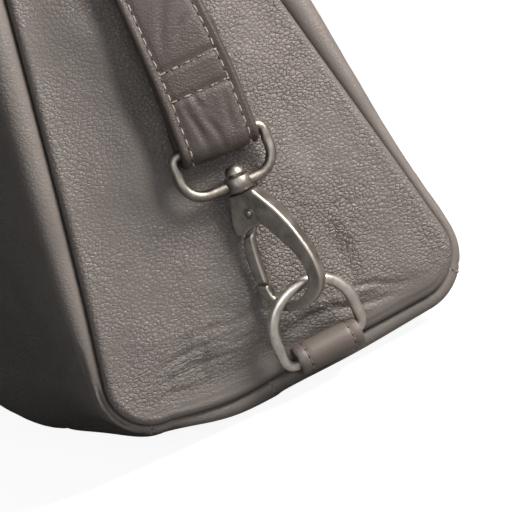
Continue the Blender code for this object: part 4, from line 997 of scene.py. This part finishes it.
def buildGate():
    pivot = hookPoint(gatePivot)
    outline = []
    for points in (gateRight, gateLeft):
        outline += softCurve([hookPoint(p) for p in points], 6)
    half = fitting["gateThickness"] / 2
    shank = plateSolid("gate", outline[::-1], half, half, fitting["hookRound"], 3)
    turns = [pi * k / 16 for k in range(17)]
    root = [pivot + Vector((cos(turn), 0, sin(turn))) * 0.062 * fitting["hookLength"] for turn in turns]
    root += [hookPoint((-0.112, 0.385)), hookPoint((-0.044, 0.385))]
    booleanStep(shank, flatPlate("root", root, fitting["gateRoot"] / 2), "UNION")
    hole = discOutline(pivot, fitting["pinRadius"] + 0.8 * bag["gap"], 24)
    booleanStep(shank, flatPlate("eye", hole, fitting["gateThickness"]), "DIFFERENCE")
    castPiece(shank, castLook["gatePasses"], half, half)
    placePiece(shank, hangingFrame(fitting["hookYaw"]))
    bothSides(shank, "nickel_gate", hookMetal, "snap_gate", ("gate_right", "gate_left"))


buildRings()
buildHook()
buildGate()
print("metal fittings built")


# Stitches and zip teeth by Geometry Nodes

def buildRepeatTree(name, shape):
    # one stitch or tooth at equal steps along every line of the input
    tree = bpy.data.node_groups.new(name, "GeometryNodeTree")
    for label, kind, value in (
            ("Lines", "Geometry", None), ("Pitch", "Float", 4 * mm), ("Length", "Float", 2.6 * mm),
            ("Width", "Float", 0.7 * mm), ("Height", "Float", 0.5 * mm), ("Sway", "Float", 0.08),
            ("Seed", "Int", 3), ("Finish", "Material", None)):
        socket = tree.interface.new_socket(label, in_out="INPUT", socket_type="NodeSocket" + kind)
        if value is not None:
            socket.default_value = value
    tree.interface.new_socket("Pieces", in_out="OUTPUT", socket_type="NodeSocketGeometry")
    given = tree.nodes.new("NodeGroupInput").outputs
    curve = addNode(tree, "GeometryNodeMeshToCurve", {"Mesh": given["Lines"]})
    steps = addNode(tree, "GeometryNodeResampleCurve", {"Curve": curve, "Length": given["Pitch"]},
        mode="LENGTH")
    size = addNode(tree, "ShaderNodeCombineXYZ", {0: given["Length"], 1: given["Width"], 2: given["Height"]})
    if shape == "stitch":
        unit = addNode(tree, "GeometryNodeMeshUVSphere", {"Segments": 6, "Rings": 5, "Radius": 0.5})
    else:
        unit = addNode(tree, "GeometryNodeMeshCube", {"Size": (1.0, 1.0, 1.0)})
    sized = addNode(tree, "GeometryNodeTransform", {"Geometry": unit, "Scale": size})
    tangent = addNode(tree, "GeometryNodeInputTangent")
    turn = addNode(tree, "FunctionNodeAlignRotationToVector", {"Vector": tangent}, axis="X")
    limits = []
    for sign in (-1.0, 1.0):
        reach = addNode(tree, "ShaderNodeMath", {0: given["Sway"], 1: sign}, operation="MULTIPLY")
        limits.append(addNode(tree, "ShaderNodeCombineXYZ", {0: reach, 1: reach, 2: reach}))
    sway = addNode(tree, "FunctionNodeRandomValue", {
        0: limits[0], 1: limits[1], "Seed": given["Seed"]}, data_type="FLOAT_VECTOR")
    swayTurn = addNode(tree, "FunctionNodeEulerToRotation", {0: sway})
    turned = addNode(tree, "FunctionNodeRotateRotation", {0: turn, 1: swayTurn}, rotation_space="LOCAL")
    spread = addNode(tree, "GeometryNodeInstanceOnPoints",
        {"Points": steps, "Instance": sized, "Rotation": turned})
    real = addNode(tree, "GeometryNodeRealizeInstances", {"Geometry": spread})
    smooth = addNode(tree, "GeometryNodeSetShadeSmooth",
        {"Geometry": real, "Shade Smooth": shape == "stitch"})
    painted = addNode(tree, "GeometryNodeSetMaterial", {"Geometry": smooth, "Material": given["Finish"]})
    tree.links.new(painted, tree.nodes.new("NodeGroupOutput").inputs[0])
    return tree


stitchTree = buildRepeatTree("stitches along lines", "stitch")
toothTree = buildRepeatTree("teeth along lines", "tooth")


def repeatAlong(name, tree, lines, values, finish, body="bag"):
    mesh = bpy.data.meshes.new(name)
    verts, edges = [], []
    for line in lines:
        edges += [(len(verts) + i, len(verts) + i + 1) for i in range(len(line) - 1)]
        verts += [tuple(p) for p in line]
    mesh.from_pydata(verts, edges, [])
    piece = linkObject(name, mesh)
    maker = piece.modifiers.new("repeat", "NODES")
    maker.node_group = tree
    given = dict(values, Finish=finish)
    for item in tree.interface.items_tree:
        if item.item_type == "SOCKET" and item.in_out == "INPUT" and item.name in given:
            maker[item.identifier] = given[item.name]
    applyModifiers(piece)
    return dress(piece, finish, (), body)


def bothMirrored(lines):
    return lines + [[Vector((-p.x, p.y, p.z)) for p in line] for line in lines]


def cutLine(line, distance):
    # the line without its first stretch, so that holes fall between stitches
    walked = 0.0
    for i in range(len(line) - 1):
        step = (line[i + 1] - line[i]).length
        if walked + step > distance:
            return [line[i].lerp(line[i + 1], (distance - walked) / step)] + line[i + 1:]
        walked += step
    return line[-2:]


stitch = {"Pitch": 3.9 * mm, "Length": 3.0 * mm, "Width": 0.75 * mm, "Height": 0.62 * mm, "Sway": 0.10,
    "Seed": 3}
hole = {"Pitch": 3.9 * mm, "Length": 0.95 * mm, "Width": 0.85 * mm, "Height": 0.6 * mm, "Sway": 0.0,
    "Seed": 5}


def stitchLines(name, lines, finish=thread, sizes=stitch, holeSizes=hole):
    repeatAlong(name + "_stitches", stitchTree, lines, sizes, finish)
    holes = [cutLine(line, sizes["Pitch"] / 2) for line in lines]
    # painted shade for the needle holes, as dark blobs between the stitches
    repeatAlong(name + "_needle_hole_shade", stitchTree, holes, holeSizes, needleHoleShade)


# Strap

strap = {
    "width": 25 * mm, "endWidth": 27 * mm, "thickness": 3.0 * mm, "standoff": 5 * mm, "lean": 1 * mm,
    "tail": 37 * mm, "archHeight": 118 * mm,
    "keeperLength": 18 * mm, "keeperWall": 1.4 * mm, "keeperDrop": 22 * mm, "keeperOffset": 4 * mm,
    "step": 1.1 * mm, "foldPoint": 9, "faceSteps": 30, "edgeSteps": 7,
    # in mm: stitch lines, the two rows across, and the relief of the padded face
    "stitchInset": 3.3, "rows": (22.8, 33.2), "pillow": 0.45, "groove": 0.42,
    "edgeRound": 1.15, "faceInset": 0.30,
}
# wrinkles below the lower row, and creases above: two ends across and up from the fold in mm, width, depth
strapWrinkles = (
    (-4.0, 3.0, -7.5, 23.0, 1.2, 0.50), (1.5, 2.0, -1.5, 15.0, 1.1, 0.42), (5.5, 6.0, 7.0, 22.0, 1.3, 0.34),
    (-8.5, 12.0, -9.5, 24.0, 0.9, 0.28), (-1.0, 16.0, -3.5, 24.5, 0.9, 0.36),
    (-8.0, 38.0, 3.0, 56.0, 1.5, 0.34),
    (-2.0, 40.0, 8.0, 47.0, 1.2, 0.26), (6.0, 62.0, -7.0, 74.0, 1.8, 0.30),
    (-6.0, 86.0, 6.0, 96.0, 2.0, 0.30),
)


def keeperCentreX(z):
    return sideFaceX(0, z) + bag["gap"] + strap["keeperWall"] + bag["gap"] + strap["thickness"] / 2


def strapRoute():
    place = hangingFrame(0)
    turn = place.to_3x3()
    up, out = (turn @ Vector((0, 0, 1))).normalized(), (turn @ Vector((0, 1, 0))).normalized()
    barZ = bag["gap"] + fitting["collarHeight"] / 2 + fitting["swivelHeight"] - fitting["swivelWire"]
    bar = place @ Vector((-fitting["swivelShift"], 0, barZ))
    radius = fitting["swivelWire"] / 2 + bag["gap"] + strap["thickness"] / 2
    layer = strap["thickness"] + 0.2 * mm
    route = []
    for share in (1.0, 0.7, 0.42, 0.28, 0.14):
        back = radius - (2 * radius - layer) * smoothStep((share - 0.05) / 0.35)
        route.append((bar + up * strap["tail"] * share - out * back, -out, strap["endWidth"]))
    for i in range(9):
        angle = pi + pi * i / 8
        arm = out * cos(angle) + up * sin(angle)
        route.append((bar + arm * radius, arm, strap["endWidth"]))
    leave = 0.5
    route += [(bar + up * strap["tail"] * share + out * radius, out, strap["endWidth"])
        for share in (0.14, 0.3, leave)]
    start = route[-1][0]
    keeperZ = bag["rimHeight"] - strap["keeperDrop"]
    for share in (0.10, 0.20, 0.30, 0.42, 0.55, 0.68, 0.80, 0.90, 0.96):
        z = start.z + (keeperZ - start.z) * share
        toKeeper = (strap["keeperOffset"] - start.y) * smoothStep(share)
        y = start.y + strap["lean"] * sin(pi * min(share * 1.05, 1)) + toKeeper
        free = sideFaceX(0, z) + strap["standoff"] + strap["thickness"] / 2
        x = free + (keeperCentreX(z) - free) * smoothStep((share - 0.45) / 0.5)
        x = start.x + (x - start.x) * smoothStep(share / 0.36)
        width = strap["endWidth"] + (strap["width"] - strap["endWidth"]) * smoothStep(share / 0.3)
        route.append((Vector((x, y, z)), Vector((1, 0, 0)), width))
    for z in (keeperZ, keeperZ + strap["keeperLength"] * 0.5, keeperZ + strap["keeperLength"]):
        place = Vector((keeperCentreX(z), strap["keeperOffset"], z))
        route.append((place, Vector((1, 0, 0)), strap["width"]))
    footZ = keeperZ + strap["keeperLength"] * 1.5
    footX = keeperCentreX(footZ)
    for i in range(12):
        angle = pi / 2 * i / 11
        z = footZ + strap["archHeight"] * sin(angle)
        normal = Vector((cos(angle) / footX, 0, sin(angle) / strap["archHeight"])).normalized()
        place = Vector((footX * cos(angle), strap["keeperOffset"] * cos(angle), z))
        route.append((place, normal, strap["width"]))
    return route


def strapStations():
    # even steps along the whole strap: place, across, out, width, and height up from the nearer fold in mm
    half = strapRoute()
    route = list(half)
    for place, normal, width in reversed(half[:-1]):
        route.append((Vector((-place.x, place.y, place.z)), Vector((-normal.x, normal.y, normal.z)), width))
    places = [place for place, normal, width in route]
    foldAt, foldMarks = (strap["foldPoint"], len(route) - 1 - strap["foldPoint"]), []
    fine, fineNormals, fineWidths = [], [], []
    for i in range(len(route) - 1):
        normal, width = route[i][1:]
        nextNormal, nextWidth = route[i + 1][1:]
        if i in foldAt:
            foldMarks.append(len(fine))
        for k in range(12):
            t = k / 12
            fine.append(throughPoints(places, i, t))
            fineNormals.append(normal.lerp(nextNormal, t).normalized())
            fineWidths.append(width + (nextWidth - width) * t)
    fine.append(route[-1][0])
    fineNormals.append(route[-1][1])
    fineWidths.append(route[-1][2])
    lengths = [0.0]
    for first, second in zip(fine, fine[1:]):
        lengths.append(lengths[-1] + (second - first).length)
    foldA, foldB = [lengths[mark] for mark in foldMarks]
    count = int(lengths[-1] / strap["step"])
    stations, k = [], 0
    for i in range(count + 1):
        at = lengths[-1] * i / count
        while k < len(lengths) - 2 and lengths[k + 1] < at:
            k += 1
        t = (at - lengths[k]) / (lengths[k + 1] - lengths[k])
        place = fine[k].lerp(fine[k + 1], t)
        ahead = (fine[min(k + 2, len(fine) - 1)] - fine[max(k - 1, 0)]).normalized()
        normal = fineNormals[k].lerp(fineNormals[k + 1], t)
        across = ahead.cross(normal).normalized()
        up = min(at - foldA, foldB - at) / mm
        width = fineWidths[k] + (fineWidths[k + 1] - fineWidths[k]) * t
        stations.append(SimpleNamespace(
            place=place, across=across, out=across.cross(ahead).normalized(), width=width, up=up,
            right=at < lengths[-1] / 2))
    return stations


def strapRelief(a, up, half, outer):
    # a and up in mm; the padded middle lies between the two stitch lines
    inner = half - strap["stitchInset"]
    relief = -strap["groove"] * bell(abs(a) - inner, 0.75)
    if abs(a) < inner:
        relief += strap["pillow"] * (1 - (a / inner) ** 4)
    else:
        relief += 0.25 * bell(abs(a) - half + 1.5, 0.9)
    if outer:
        for row in strap["rows"]:
            if abs(a) < inner + 0.4:
                relief -= (strap["groove"] + 0.2) * bell(up - row, 1.0)
        for a0, u0, a1, u1, width, depth in strapWrinkles:
            t, off = besideLine(a, up, a0, u0, a1, u1)
            if 0 < t < 1 and abs(a) < inner:
                off += 0.35 * sin(t * 6 + a0)
                groove = 0.6 * bell(abs(off) - 1.7 * width, width) - bell(off, width * 0.8)
                relief += depth * sin(pi * t) * groove
    return relief


def strapSurface(station, a, outer, lift=0.0):
    half = station.width / mm / 2
    relief = strapRelief(a, station.up, half, outer) + lift
    out = strap["thickness"] / 2 - strap["faceInset"] * mm + relief * mm
    return station.place + station.across * a * mm + station.out * (out if outer else -out)


def buildStrap():
    stations = strapStations()
    grid = []
    faceSteps, edgeSteps, rim = strap["faceSteps"], strap["edgeSteps"], strap["edgeRound"]
    flatOut = strap["thickness"] / mm / 2 - strap["faceInset"]
    for station in stations:
        flat = station.width / mm / 2 - rim
        ring = []
        for outer, sign in ((True, 1), (False, -1)):
            for k in range(faceSteps + 1):
                ring.append(strapSurface(station, sign * flat * (1 - 2 * k / faceSteps), outer))
            for k in range(1, edgeSteps):
                turn = pi * k / edgeSteps
                a, out = -sign * (flat + rim * sin(turn)), sign * flatOut * cos(turn)
                ring.append(station.place + station.across * a * mm + station.out * out * mm)
        grid.append(ring)
    grain = [[0.3] * len(ring) for ring in grid]
    piece = gridPiece("leather_strap", grid, wrapColumns=True, capEnds=True, attributes={"grain": grain})
    dress(piece, strapLeather, ("shoulder_strap",))
    pace = (stations[1].place - stations[0].place).length / mm
    print("strap length in mm:", round((len(stations) - 1) * pace))
    lines, inset = [], strap["stitchInset"]
    for sign in (-1, 1):
        for outer in (True, False):
            sewn = [s for s in stations if s.up > 1.5 or not outer]
            lines.append([strapSurface(s, sign * (s.width / mm / 2 - inset), outer, 0.08) for s in sewn])
    for row in strap["rows"]:
        for right in (True, False):
            near = min((s for s in stations if s.right == right and s.up > 0), key=lambda s: abs(s.up - row))
            half = near.width / mm / 2 - inset - 0.8
            lines.append([strapSurface(near, -half + 2 * half * k / 30, True, 0.22) for k in range(31)])
    stitchLines("strap", lines)


buildStrap()
print("strap built")


# Leather tab round the D-ring, with raw cut ends and a row of stitches near each

tab = {"turns": 60, "steps": 48, "neckTop": 197, "neckLow": 262, "rowInset": 3.4 * mm, "tipLow": 1.6 * mm,
    "tipHigh": 0.55 * mm}
fineStitch = dict(stitch, Pitch=2.6 * mm, Length=1.9 * mm, Width=0.5 * mm)


def buildTabs():
    inner = fitting["ringWire"] / 2 + fitting["tabPlay"]
    outer = inner + fitting["tabWall"]
    centre = tabCentre()
    tipX = halfWidthAt(bag["seamHeight"]) + bag["sideRoll"] * 0.7 - centre.x
    count, steps = tab["turns"], tab["steps"]
    arms = [Vector((cos(2 * pi * k / count), 0, sin(2 * pi * k / count))) for k in range(count)]
    innerRing, outerRing = [arm * inner for arm in arms], [arm * outer for arm in arms]
    # the strip leaves the tube as a neck that runs into the groove of the base seam
    neckTop, neckLow = int(count * tab["neckTop"] / 360), int(count * tab["neckLow"] / 360)
    tipA = Vector((tipX, 0, -fitting["tabRise"] - tab["tipHigh"]))
    tipB = Vector((tipX, 0, -fitting["tabRise"] - tab["tipLow"]))
    middle = (neckTop + neckLow) // 2
    for k in range(neckTop, middle + 1):
        outerRing[k] = outerRing[neckTop].lerp(tipA, smoothStep((k - neckTop) / (middle - neckTop)))
    for k in range(middle + 1, neckLow):
        t = (k - middle - 1) / (neckLow - middle - 1)
        outerRing[k] = tipB.lerp(outerRing[neckLow], t) + Vector((0.25, 0, -0.35)) * sin(pi * t) * mm
    half = fitting["tabLength"] / 2
    rowAt = half - tab["rowInset"]
    rows = []
    for i in range(steps + 1):
        # the leather is drawn in under the stitches and at its cut ends
        y = -half + 2 * half * i / steps
        squeeze = 1 - 0.045 * bell(abs(y) - rowAt, 0.7 * mm) + 0.03 * (1 - (y / half) ** 4)
        squeeze -= 0.06 * bell(half - abs(y), 0.35 * mm)
        factors = [1 if neckTop <= k < neckLow else squeeze for k in range(count)]
        drawn = [Vector((p.x * factor, y, p.z * factor)) for p, factor in zip(outerRing, factors)]
        rows.append([centre + p for p in drawn])
    bm = bmesh.new()
    skin = [[bm.verts.new(p) for p in row] for row in rows]
    bore = []
    for i in range(steps + 1):
        offset = Vector((0, -half + 2 * half * i / steps, 0))
        bore.append([bm.verts.new(centre + p + offset) for p in innerRing])
    for layer in (skin, bore):
        for i in range(steps):
            for k in range(count):
                l = (k + 1) % count
                bm.faces.new((layer[i][k], layer[i][l], layer[i + 1][l], layer[i + 1][k]))
    for i in (0, steps):
        for k in range(count):
            l = (k + 1) % count
            face = bm.faces.new((skin[i][k], skin[i][l], bore[i][l], bore[i][k]))
            face.material_index = 1
    piece = pieceFromBmesh("tab", bm, sharpAngle=35)
    left = mirrorPiece(piece, "leather_tab_left")
    piece.name = "leather_tab_right"
    for made, side in ((piece, "right"), (left, "left")):
        dress(made, tabLeather, ("ring_tab_" + side,))
        made.data.materials.append(rawEdge)
    lines = []
    for y in (-rowAt, rowAt):
        turns = [radians(-75 + 250 * k / 60) for k in range(61)]
        lines.append([centre + Vector((cos(t) * outer * 0.975, y, sin(t) * outer * 0.975)) for t in turns])
    tabHole = dict(hole, Pitch=2.6 * mm, Length=0.7 * mm, Width=0.6 * mm)
    stitchLines("tab", bothMirrored(lines), tabThread, dict(fineStitch, Height=0.5 * mm),
        tabHole)


def buildKeepers():
    low = bag["rimHeight"] - strap["keeperDrop"]
    innerOut, innerHalf = strap["thickness"] / 2 + bag["gap"], strap["width"] / 2 + 2 * bag["gap"]
    soft, count = 1.3 * mm, 10

    def ring(grow):
        half, out, radius = innerHalf + grow, innerOut + grow, soft * (0.45 if grow == 0 else 1.0)
        loop = []
        for cx, cz, start in ((1, 1, 0), (-1, 1, 90), (-1, -1, 180), (1, -1, 270)):
            for k in range(count + 1):
                turn = radians(start + 90 * k / count)
                loop.append((cx * (half - radius) + cos(turn) * radius,
                    cz * (out - radius) + sin(turn) * radius))
        return loop
    steps = 16
    rows = []
    for grow, order in ((strap["keeperWall"], range(steps + 1)), (0.0, range(steps, -1, -1))):
        for i in order:
            t = i / steps
            z = low + strap["keeperLength"] * t
            ends = 0.22 * mm * (bell(t, 0.05) + bell(1 - t, 0.05)) if grow else 0.0
            section = ring(grow - ends)
            rows.append([Vector((keeperCentreX(z) + o, strap["keeperOffset"] + a, z)) for a, o in section])
    piece = gridPiece("keeper", rows, wrapRows=True, wrapColumns=True)
    bothSides(piece, "leather_keeper", strapLeather, "strap_keeper")
    lines, out = [], innerOut + strap["keeperWall"] + 0.05 * mm
    acrosses = [strap["keeperOffset"] + innerHalf * (1 - 2 * k / 20) * 0.94 for k in range(21)]
    for z in (low + 2.6 * mm, low + strap["keeperLength"] - 2.6 * mm):
        lines.append([Vector((keeperCentreX(z) + out, y, z)) for y in acrosses])
    stitchLines("keeper", bothMirrored(lines))


buildTabs()
buildKeepers()
print("tabs and keepers built")


# Zip

zipTop = {
    "slot": 11 * mm, "drop": 1.0 * mm, "toothPitch": 1.9 * mm, "chainSplit": 0.55 * mm, "endGap": 3 * mm,
    # the tape's half thickness, and its raised middle as across and up, in mm
    "cord": ((1.6, 0.4), (1.3, 0.75), (-1.3, 0.75), (-1.6, 0.4)), "tapeHalf": 0.4, "facingStitch": 1.6 * mm,
}


def buildZip():
    for side, face in (("front", -1), ("back", 1)):
        node = "zip_facing_" + side
        dress(polishedCopy(node, "leather_" + node, 0.35 * mm, True), bodyLeather, (node,))
    low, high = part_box("zip_tape")
    level = bag["rimHeight"] - zipTop["drop"] - bag["leather"] / 2
    half, end = zipTop["slot"] / 2 - bag["gap"], high.x
    tape = zipTop["tapeHalf"]
    ring = [(half, -tape), (half, tape)] + [(y * mm, z) for y, z in zipTop["cord"]]
    ring += [(-half, tape), (-half, -tape)]
    rows = [[Vector((-end + 2 * end * i / 60, y, level + z * mm)) for y, z in ring] for i in range(61)]
    dress(gridPiece("cloth_zip_tape", rows, wrapColumns=True, capEnds=True), tapeCloth,
        ("zip_tape",))
    teeth = {"Pitch": zipTop["toothPitch"], "Length": 1.0 * mm, "Width": 3.0 * mm, "Height": 1.7 * mm,
        "Sway": 0.0, "Seed": 1}
    # the teeth of the second tape sit between those of the first
    lines = []
    for sign, shift in ((-1, 0), (1, zipTop["toothPitch"] / 2)):
        ends = (-end + zipTop["endGap"] + shift, end - zipTop["endGap"] + shift)
        lines.append([Vector((x, sign * zipTop["chainSplit"], level + 0.2 * mm)) for x in ends])
    repeatAlong("zip_teeth", toothTree, lines, teeth, hookMetal)
    dress(polishedCopy("zip_slider", "nickel_zip_slider", 0.35 * mm), ringMetal,
        ("zip_slider",))
    dress(polishedCopy("zip_pull", "leather_zip_pull", 0.5 * mm), strapLeather,
        ("zip_pull",))
    facing = []
    top = bag["rimHeight"] - zipTop["drop"] + 0.05 * mm
    for sign in (-1, 1):
        y = sign * (zipTop["slot"] / 2 + zipTop["facingStitch"])
        facing.append([Vector((-end + 4 * mm + (2 * end - 8 * mm) * k / 60, y, top)) for k in range(61)])
    stitchLines("zip_facing", facing)
    pullLow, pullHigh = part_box("zip_pull")
    midY, inset = (pullLow.y + pullHigh.y) / 2, 1.3 * mm
    pull = [[Vector((x, midY + sign * (pullHigh.y - pullLow.y - 2 * inset) / 2, pullHigh.z + 0.05 * mm))
             for x in (pullLow.x + 4 * mm, pullHigh.x - 13 * mm)] for sign in (-1, 1)]
    stitchLines("zip_pull", pull, thread, fineStitch, dict(hole, Pitch=2.6 * mm))


def polishedCopy(node, name, width, filled=False):
    # the node's own shape with its edges softened; filled closes the notches at its corners
    bm = bmesh.new()
    bm.from_mesh(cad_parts[node].data)
    bmesh.ops.remove_doubles(bm, verts=bm.verts, dist=0.001 * mm)
    if filled:
        corners = [vert.co.copy() for vert in bm.verts]
        bm.clear()
        for corner in corners:
            bm.verts.new(corner)
        bmesh.ops.convex_hull(bm, input=bm.verts)
        bmesh.ops.delete(bm, geom=[vert for vert in bm.verts if not vert.link_faces], context="VERTS")
    bmesh.ops.dissolve_limit(bm, angle_limit=radians(2), verts=bm.verts, edges=bm.edges)
    piece = pieceFromBmesh(name, bm)
    soften = piece.modifiers.new("soften", "BEVEL")
    soften.width, soften.segments = width, 3
    soften.limit_method, soften.angle_limit = "ANGLE", radians(35)
    applyModifiers(piece)
    piece.data.shade_smooth()
    return piece


buildZip()
print("zip built")


# Seam and join stitches that show on the base and along the side seams

def sectionLine(station, first, last, bend=0.0):
    # line over the roll of a panel, a hair above its skin
    line = []
    for p, n, _ in panelSection(station, [0.01, 0.02, 0.03], 24)[first:last]:
        p = p + n * 0.06 * mm
        y = station.y + station.outY * p.y + bend * abs(station.outZ)
        line.append(Vector((p.x, y, station.z + station.outZ * p.y)))
    return line


def buildSeamStitches():
    small = dict(stitch, Pitch=2.5 * mm, Length=1.8 * mm, Width=0.5 * mm, Height=0.42 * mm)
    smallHole = dict(hole, Pitch=2.5 * mm, Length=0.6 * mm, Width=0.55 * mm)
    overlapShare = (overlap["place"] / (bag["baseDepth"] / 2 - cornerTangent()) + 1) / 2
    lines = []
    for face, join in ((-1, "frontJoin"), (1, "backJoin")):
        lines.append(sectionLine(cornerStation(face, bag[join] + 0.075), 5, 28))
    lines.append(sectionLine(baseStation(overlapShare), 5, 28, -1.2 * mm + overlap["bend"] * 0.6))
    stitchLines("base_join", bothMirrored(lines), thread, small, smallHole)
    # the seam's own thread, deep in the groove between the two rolls
    walls, corners = [s / 60 for s in range(1, 55)], [s / 12 for s in range(12)]
    around = [wallStation(-1, share) for share in reversed(walls)]
    around += [cornerStation(-1, share) for share in corners]
    around += [baseStation(s / 40) for s in range(41)]
    around += [cornerStation(1, share) for share in reversed(corners)]
    around += [wallStation(1, share) for share in walls]
    groove = [[Vector((s.half + 0.75 * mm, s.y, s.z)) for s in around]]
    sizes = {"Pitch": 3.4 * mm, "Length": 1.9 * mm, "Width": 0.5 * mm, "Height": 0.7 * mm, "Sway": 0.12,
        "Seed": 8}
    repeatAlong("seam_thread", stitchTree, bothMirrored(groove), sizes, tabThread)


buildSeamStitches()
print("seam stitches built")


# Camera, lights and floor

view = {
    "around": radians(77.4), "above": radians(10.6), "turnRight": 0.9075, "turnDown": 0.42,
    "targetY": 1.3 * mm, "targetZ": 47.4 * mm, "targetOut": 3.6 * mm,
    "distance": 1.4, "frame": 0.165, "sensor": 36.0,  # metres from the target, metres across the picture, mm
}


def buildCamera():
    a, e = view["around"], view["above"]
    right = Vector((cos(a), sin(a), 0))
    up = Vector((-sin(a) * sin(e), cos(a) * sin(e), cos(e)))
    back = Vector((sin(a) * cos(e), -cos(a) * cos(e), sin(e)))
    frameX = view["turnRight"] * right - view["turnDown"] * up
    frameY = view["turnDown"] * right + view["turnRight"] * up
    target = Vector((halfWidthAt(view["targetZ"]) + view["targetOut"], view["targetY"], view["targetZ"]))
    lens = bpy.data.cameras.new("camera")
    lens.sensor_width, lens.lens = view["sensor"], view["sensor"] * view["distance"] / view["frame"]
    lens.clip_start, lens.clip_end = 0.05, 20.0
    camera = linkObject("camera", lens)
    place = Matrix((frameX, frameY, back)).transposed().to_4x4()
    place.translation = target + back * view["distance"]
    camera.matrix_world = place
    bpy.context.scene.camera = camera
    return target


def addLight(name, target, direction, distance, size, power, colour):
    lamp = bpy.data.lights.new(name, "AREA")
    lamp.shape, lamp.size, lamp.energy, lamp.color = "DISK", size, power, hexToLinear(colour)[:3]
    thing = linkObject(name, lamp)
    direction = Vector(direction).normalized()
    turn = direction.to_track_quat("Z", "Y").to_matrix().to_4x4()
    thing.matrix_world = Matrix.Translation(target + direction * distance) @ turn


# name, direction from the target, distance and size in m, power in W, colour
studioLights = (
    ("key softbox", (0.52, 0.64, 0.56), 0.52, 0.28, 5.6, "#fffaf6"),
    ("top softbox", (0.10, 0.55, 1.0), 1.6, 0.9, 6, "#ffffff"),
    ("camera fill", (1.0, -0.32, 0.12), 1.3, 1.1, 5.2, "#fafbff"),
)
room = {
    "air": "#eef0f2", "dim": 0.15, "wall": 1.3, "wallFrom": 0.35, "wallTo": 0.95,
    "paper": ("#8c8c8c", "#949494"), "paperSize": 3.0, "paperGlow": 0.92,
}


def buildRoom():
    # the room is dim, with a pale wall behind the camera that the metal mirrors, and white to the camera
    world = bpy.data.worlds.new("white studio")
    world.use_nodes = True
    tree = world.node_tree
    toward = addNode(tree, "ShaderNodeSeparateXYZ",
        {0: addNode(tree, "ShaderNodeTexCoord", output="Generated")}, "X")
    wall = addNode(tree, "ShaderNodeMapRange", {
        "Value": toward, "From Min": room["wallFrom"], "From Max": room["wallTo"], "To Max": room["wall"]})
    mirrored = addNode(tree, "ShaderNodeLightPath", output="Is Glossy Ray")
    strength = addNode(tree, "ShaderNodeMath", {0: wall, 1: mirrored, 2: room["dim"]},
        operation="MULTIPLY_ADD")
    air = tree.nodes["Background"]
    setInputs(tree, air, {"Color": hexToLinear(room["air"]), "Strength": strength})
    white = addNode(tree, "ShaderNodeBackground", {"Color": (1, 1, 1, 1), "Strength": 1.0})
    seen = addNode(tree, "ShaderNodeLightPath", output="Is Camera Ray")
    shown = addNode(tree, "ShaderNodeMixShader", {0: seen, 1: air.outputs[0], 2: white})
    tree.links.new(shown, tree.nodes["World Output"].inputs["Surface"])
    bpy.context.scene.world = world


def buildFloor():
    bm = bmesh.new()
    bmesh.ops.create_grid(bm, x_segments=1, y_segments=1, size=room["paperSize"])
    floor = pieceFromBmesh("studio_floor", bm)
    # seamless paper: matt, and lit from behind for the camera alone, which makes it white with a faint shadow
    finish, tree, shader = newMaterial("pale seamless paper")
    place = addNode(tree, "ShaderNodeTexCoord", output="Object")
    mottle = addNode(tree, "ShaderNodeTexNoise", {"Vector": place, "Scale": 6.0})
    low, high = [hexToLinear(code) for code in room["paper"]]
    tone = addNode(tree, "ShaderNodeValToRGB", {"Fac": mottle}, stops=((0.3, low), (0.7, high)))
    seen = addNode(tree, "ShaderNodeLightPath", output="Is Camera Ray")
    glow = addNode(tree, "ShaderNodeMath", {0: seen, 1: room["paperGlow"]}, operation="MULTIPLY")
    setInputs(tree, shader, {
        "Base Color": tone, "Roughness": 0.9, "Specular IOR Level": 0.0, "Emission Color": (1, 1, 1, 1),
        "Emission Strength": glow})
    floor.data.materials.append(finish)


target = buildCamera()
for name, direction, distance, size, power, colour in studioLights:
    addLight(name, target, direction, distance, size, power, colour)
buildRoom()
buildFloor()
bpy.context.scene.view_settings.view_transform = "Standard"
print("camera, lights and floor ready")
